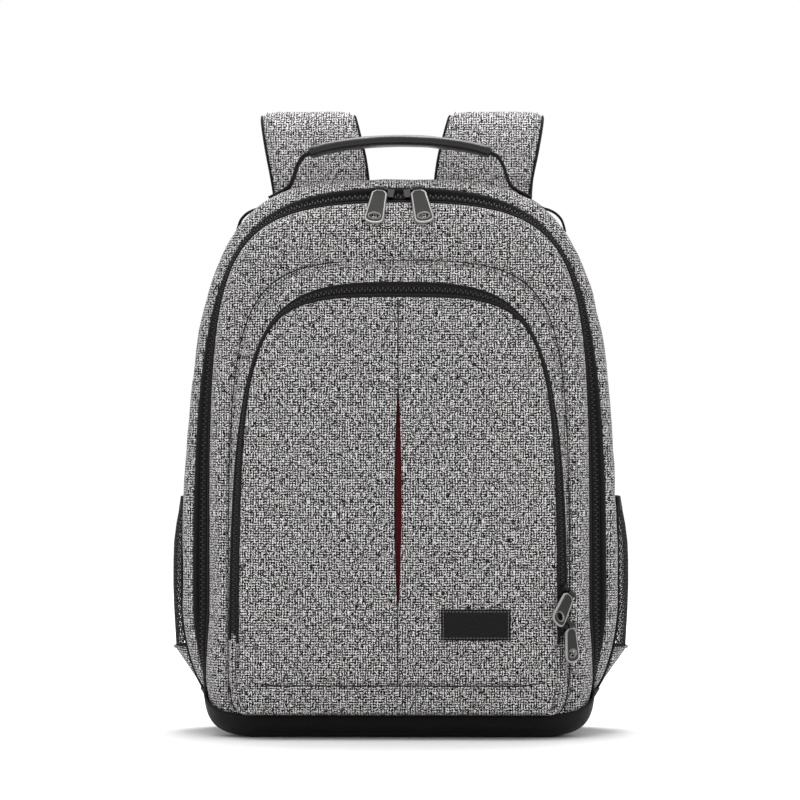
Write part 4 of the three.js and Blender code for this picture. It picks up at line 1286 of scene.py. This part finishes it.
# Lights: place and width in metres, and power
FLOOR_HALF = 30
GLOW_FROM = 0.45
GLOW_FULL = 1.3
GLOW = 0.2
LIGHTS = {
    "key": ((-0.7, -1.5, 3.0), 1.2, 12),
    "fill": ((1.9, -2.0, 1.5), 1.8, 2),
    "top": ((0.0, 1.1, 2.3), 1.5, 55),
    "crown": ((0.0, -0.1, 2.6), 1.2, 9),
}
LIT_POINT = Vector((0, 0, 0.22))


def build_floor():
    """Pale floor that glows into the white ground far from the bag."""
    mesh = bpy.data.meshes.new("floor")
    corners = [(x * FLOOR_HALF, y * FLOOR_HALF, 0) for x, y in ((-1, -1), (1, -1), (1, 1), (-1, 1))]
    mesh.from_pydata(corners, [], [(0, 1, 2, 3)])
    floor = bpy.data.objects.new("floor", mesh)
    bpy.context.scene.collection.objects.link(floor)
    material, tree, shader = new_material("floor", (0.84, 0.84, 0.84), 0.95, specular=0.0)
    shader.inputs["Emission Color"].default_value = (1, 1, 1, 1)
    far = tree.nodes.new("ShaderNodeVectorMath")
    far.operation = "LENGTH"
    tree.links.new(tree.nodes.new("ShaderNodeTexCoord").outputs["Object"], far.inputs[0])
    glow = tree.nodes.new("ShaderNodeMapRange")
    glow.inputs["From Min"].default_value = GLOW_FROM
    glow.inputs["From Max"].default_value = GLOW_FULL
    glow.inputs["To Min"].default_value = 0.0
    glow.inputs["To Max"].default_value = GLOW
    tree.links.new(far.outputs["Value"], glow.inputs["Value"])
    tree.links.new(glow.outputs["Result"], shader.inputs["Emission Strength"])
    mesh.materials.append(material)


def build_stage():
    """Floor, white ground and soft studio light."""
    build_floor()
    world = bpy.data.worlds.new("world")
    bpy.context.scene.world = world
    world.use_nodes = True
    world.node_tree.nodes["Background"].inputs["Color"].default_value = (1, 1, 1, 1)
    world.node_tree.nodes["Background"].inputs["Strength"].default_value = 1.0
    for name, (place, size, power) in LIGHTS.items():
        light = bpy.data.lights.new(name, "AREA")
        light.shape = "DISK"
        light.size = size
        light.energy = power
        lamp = bpy.data.objects.new(name, light)
        bpy.context.scene.collection.objects.link(lamp)
        lamp.location = place
        lamp.rotation_euler = (LIT_POINT - lamp.location).to_track_quat("-Z", "Y").to_euler()
    bpy.context.scene.view_settings.view_transform = "Standard"


build_stage()
build_tub()
build_lid()
build_main_zip()
build_pocket()
build_slit()
build_lower_seam()
build_pocket_zip()
build_pocket_seam()
build_label()
build_boot()
build_handle()
for way, word in SIDES:
    build_strap(way, word)
    build_lower_webbing(way, word)
    build_side_pocket(way, word)
    build_side_webbing(way, word)
build_tabs()
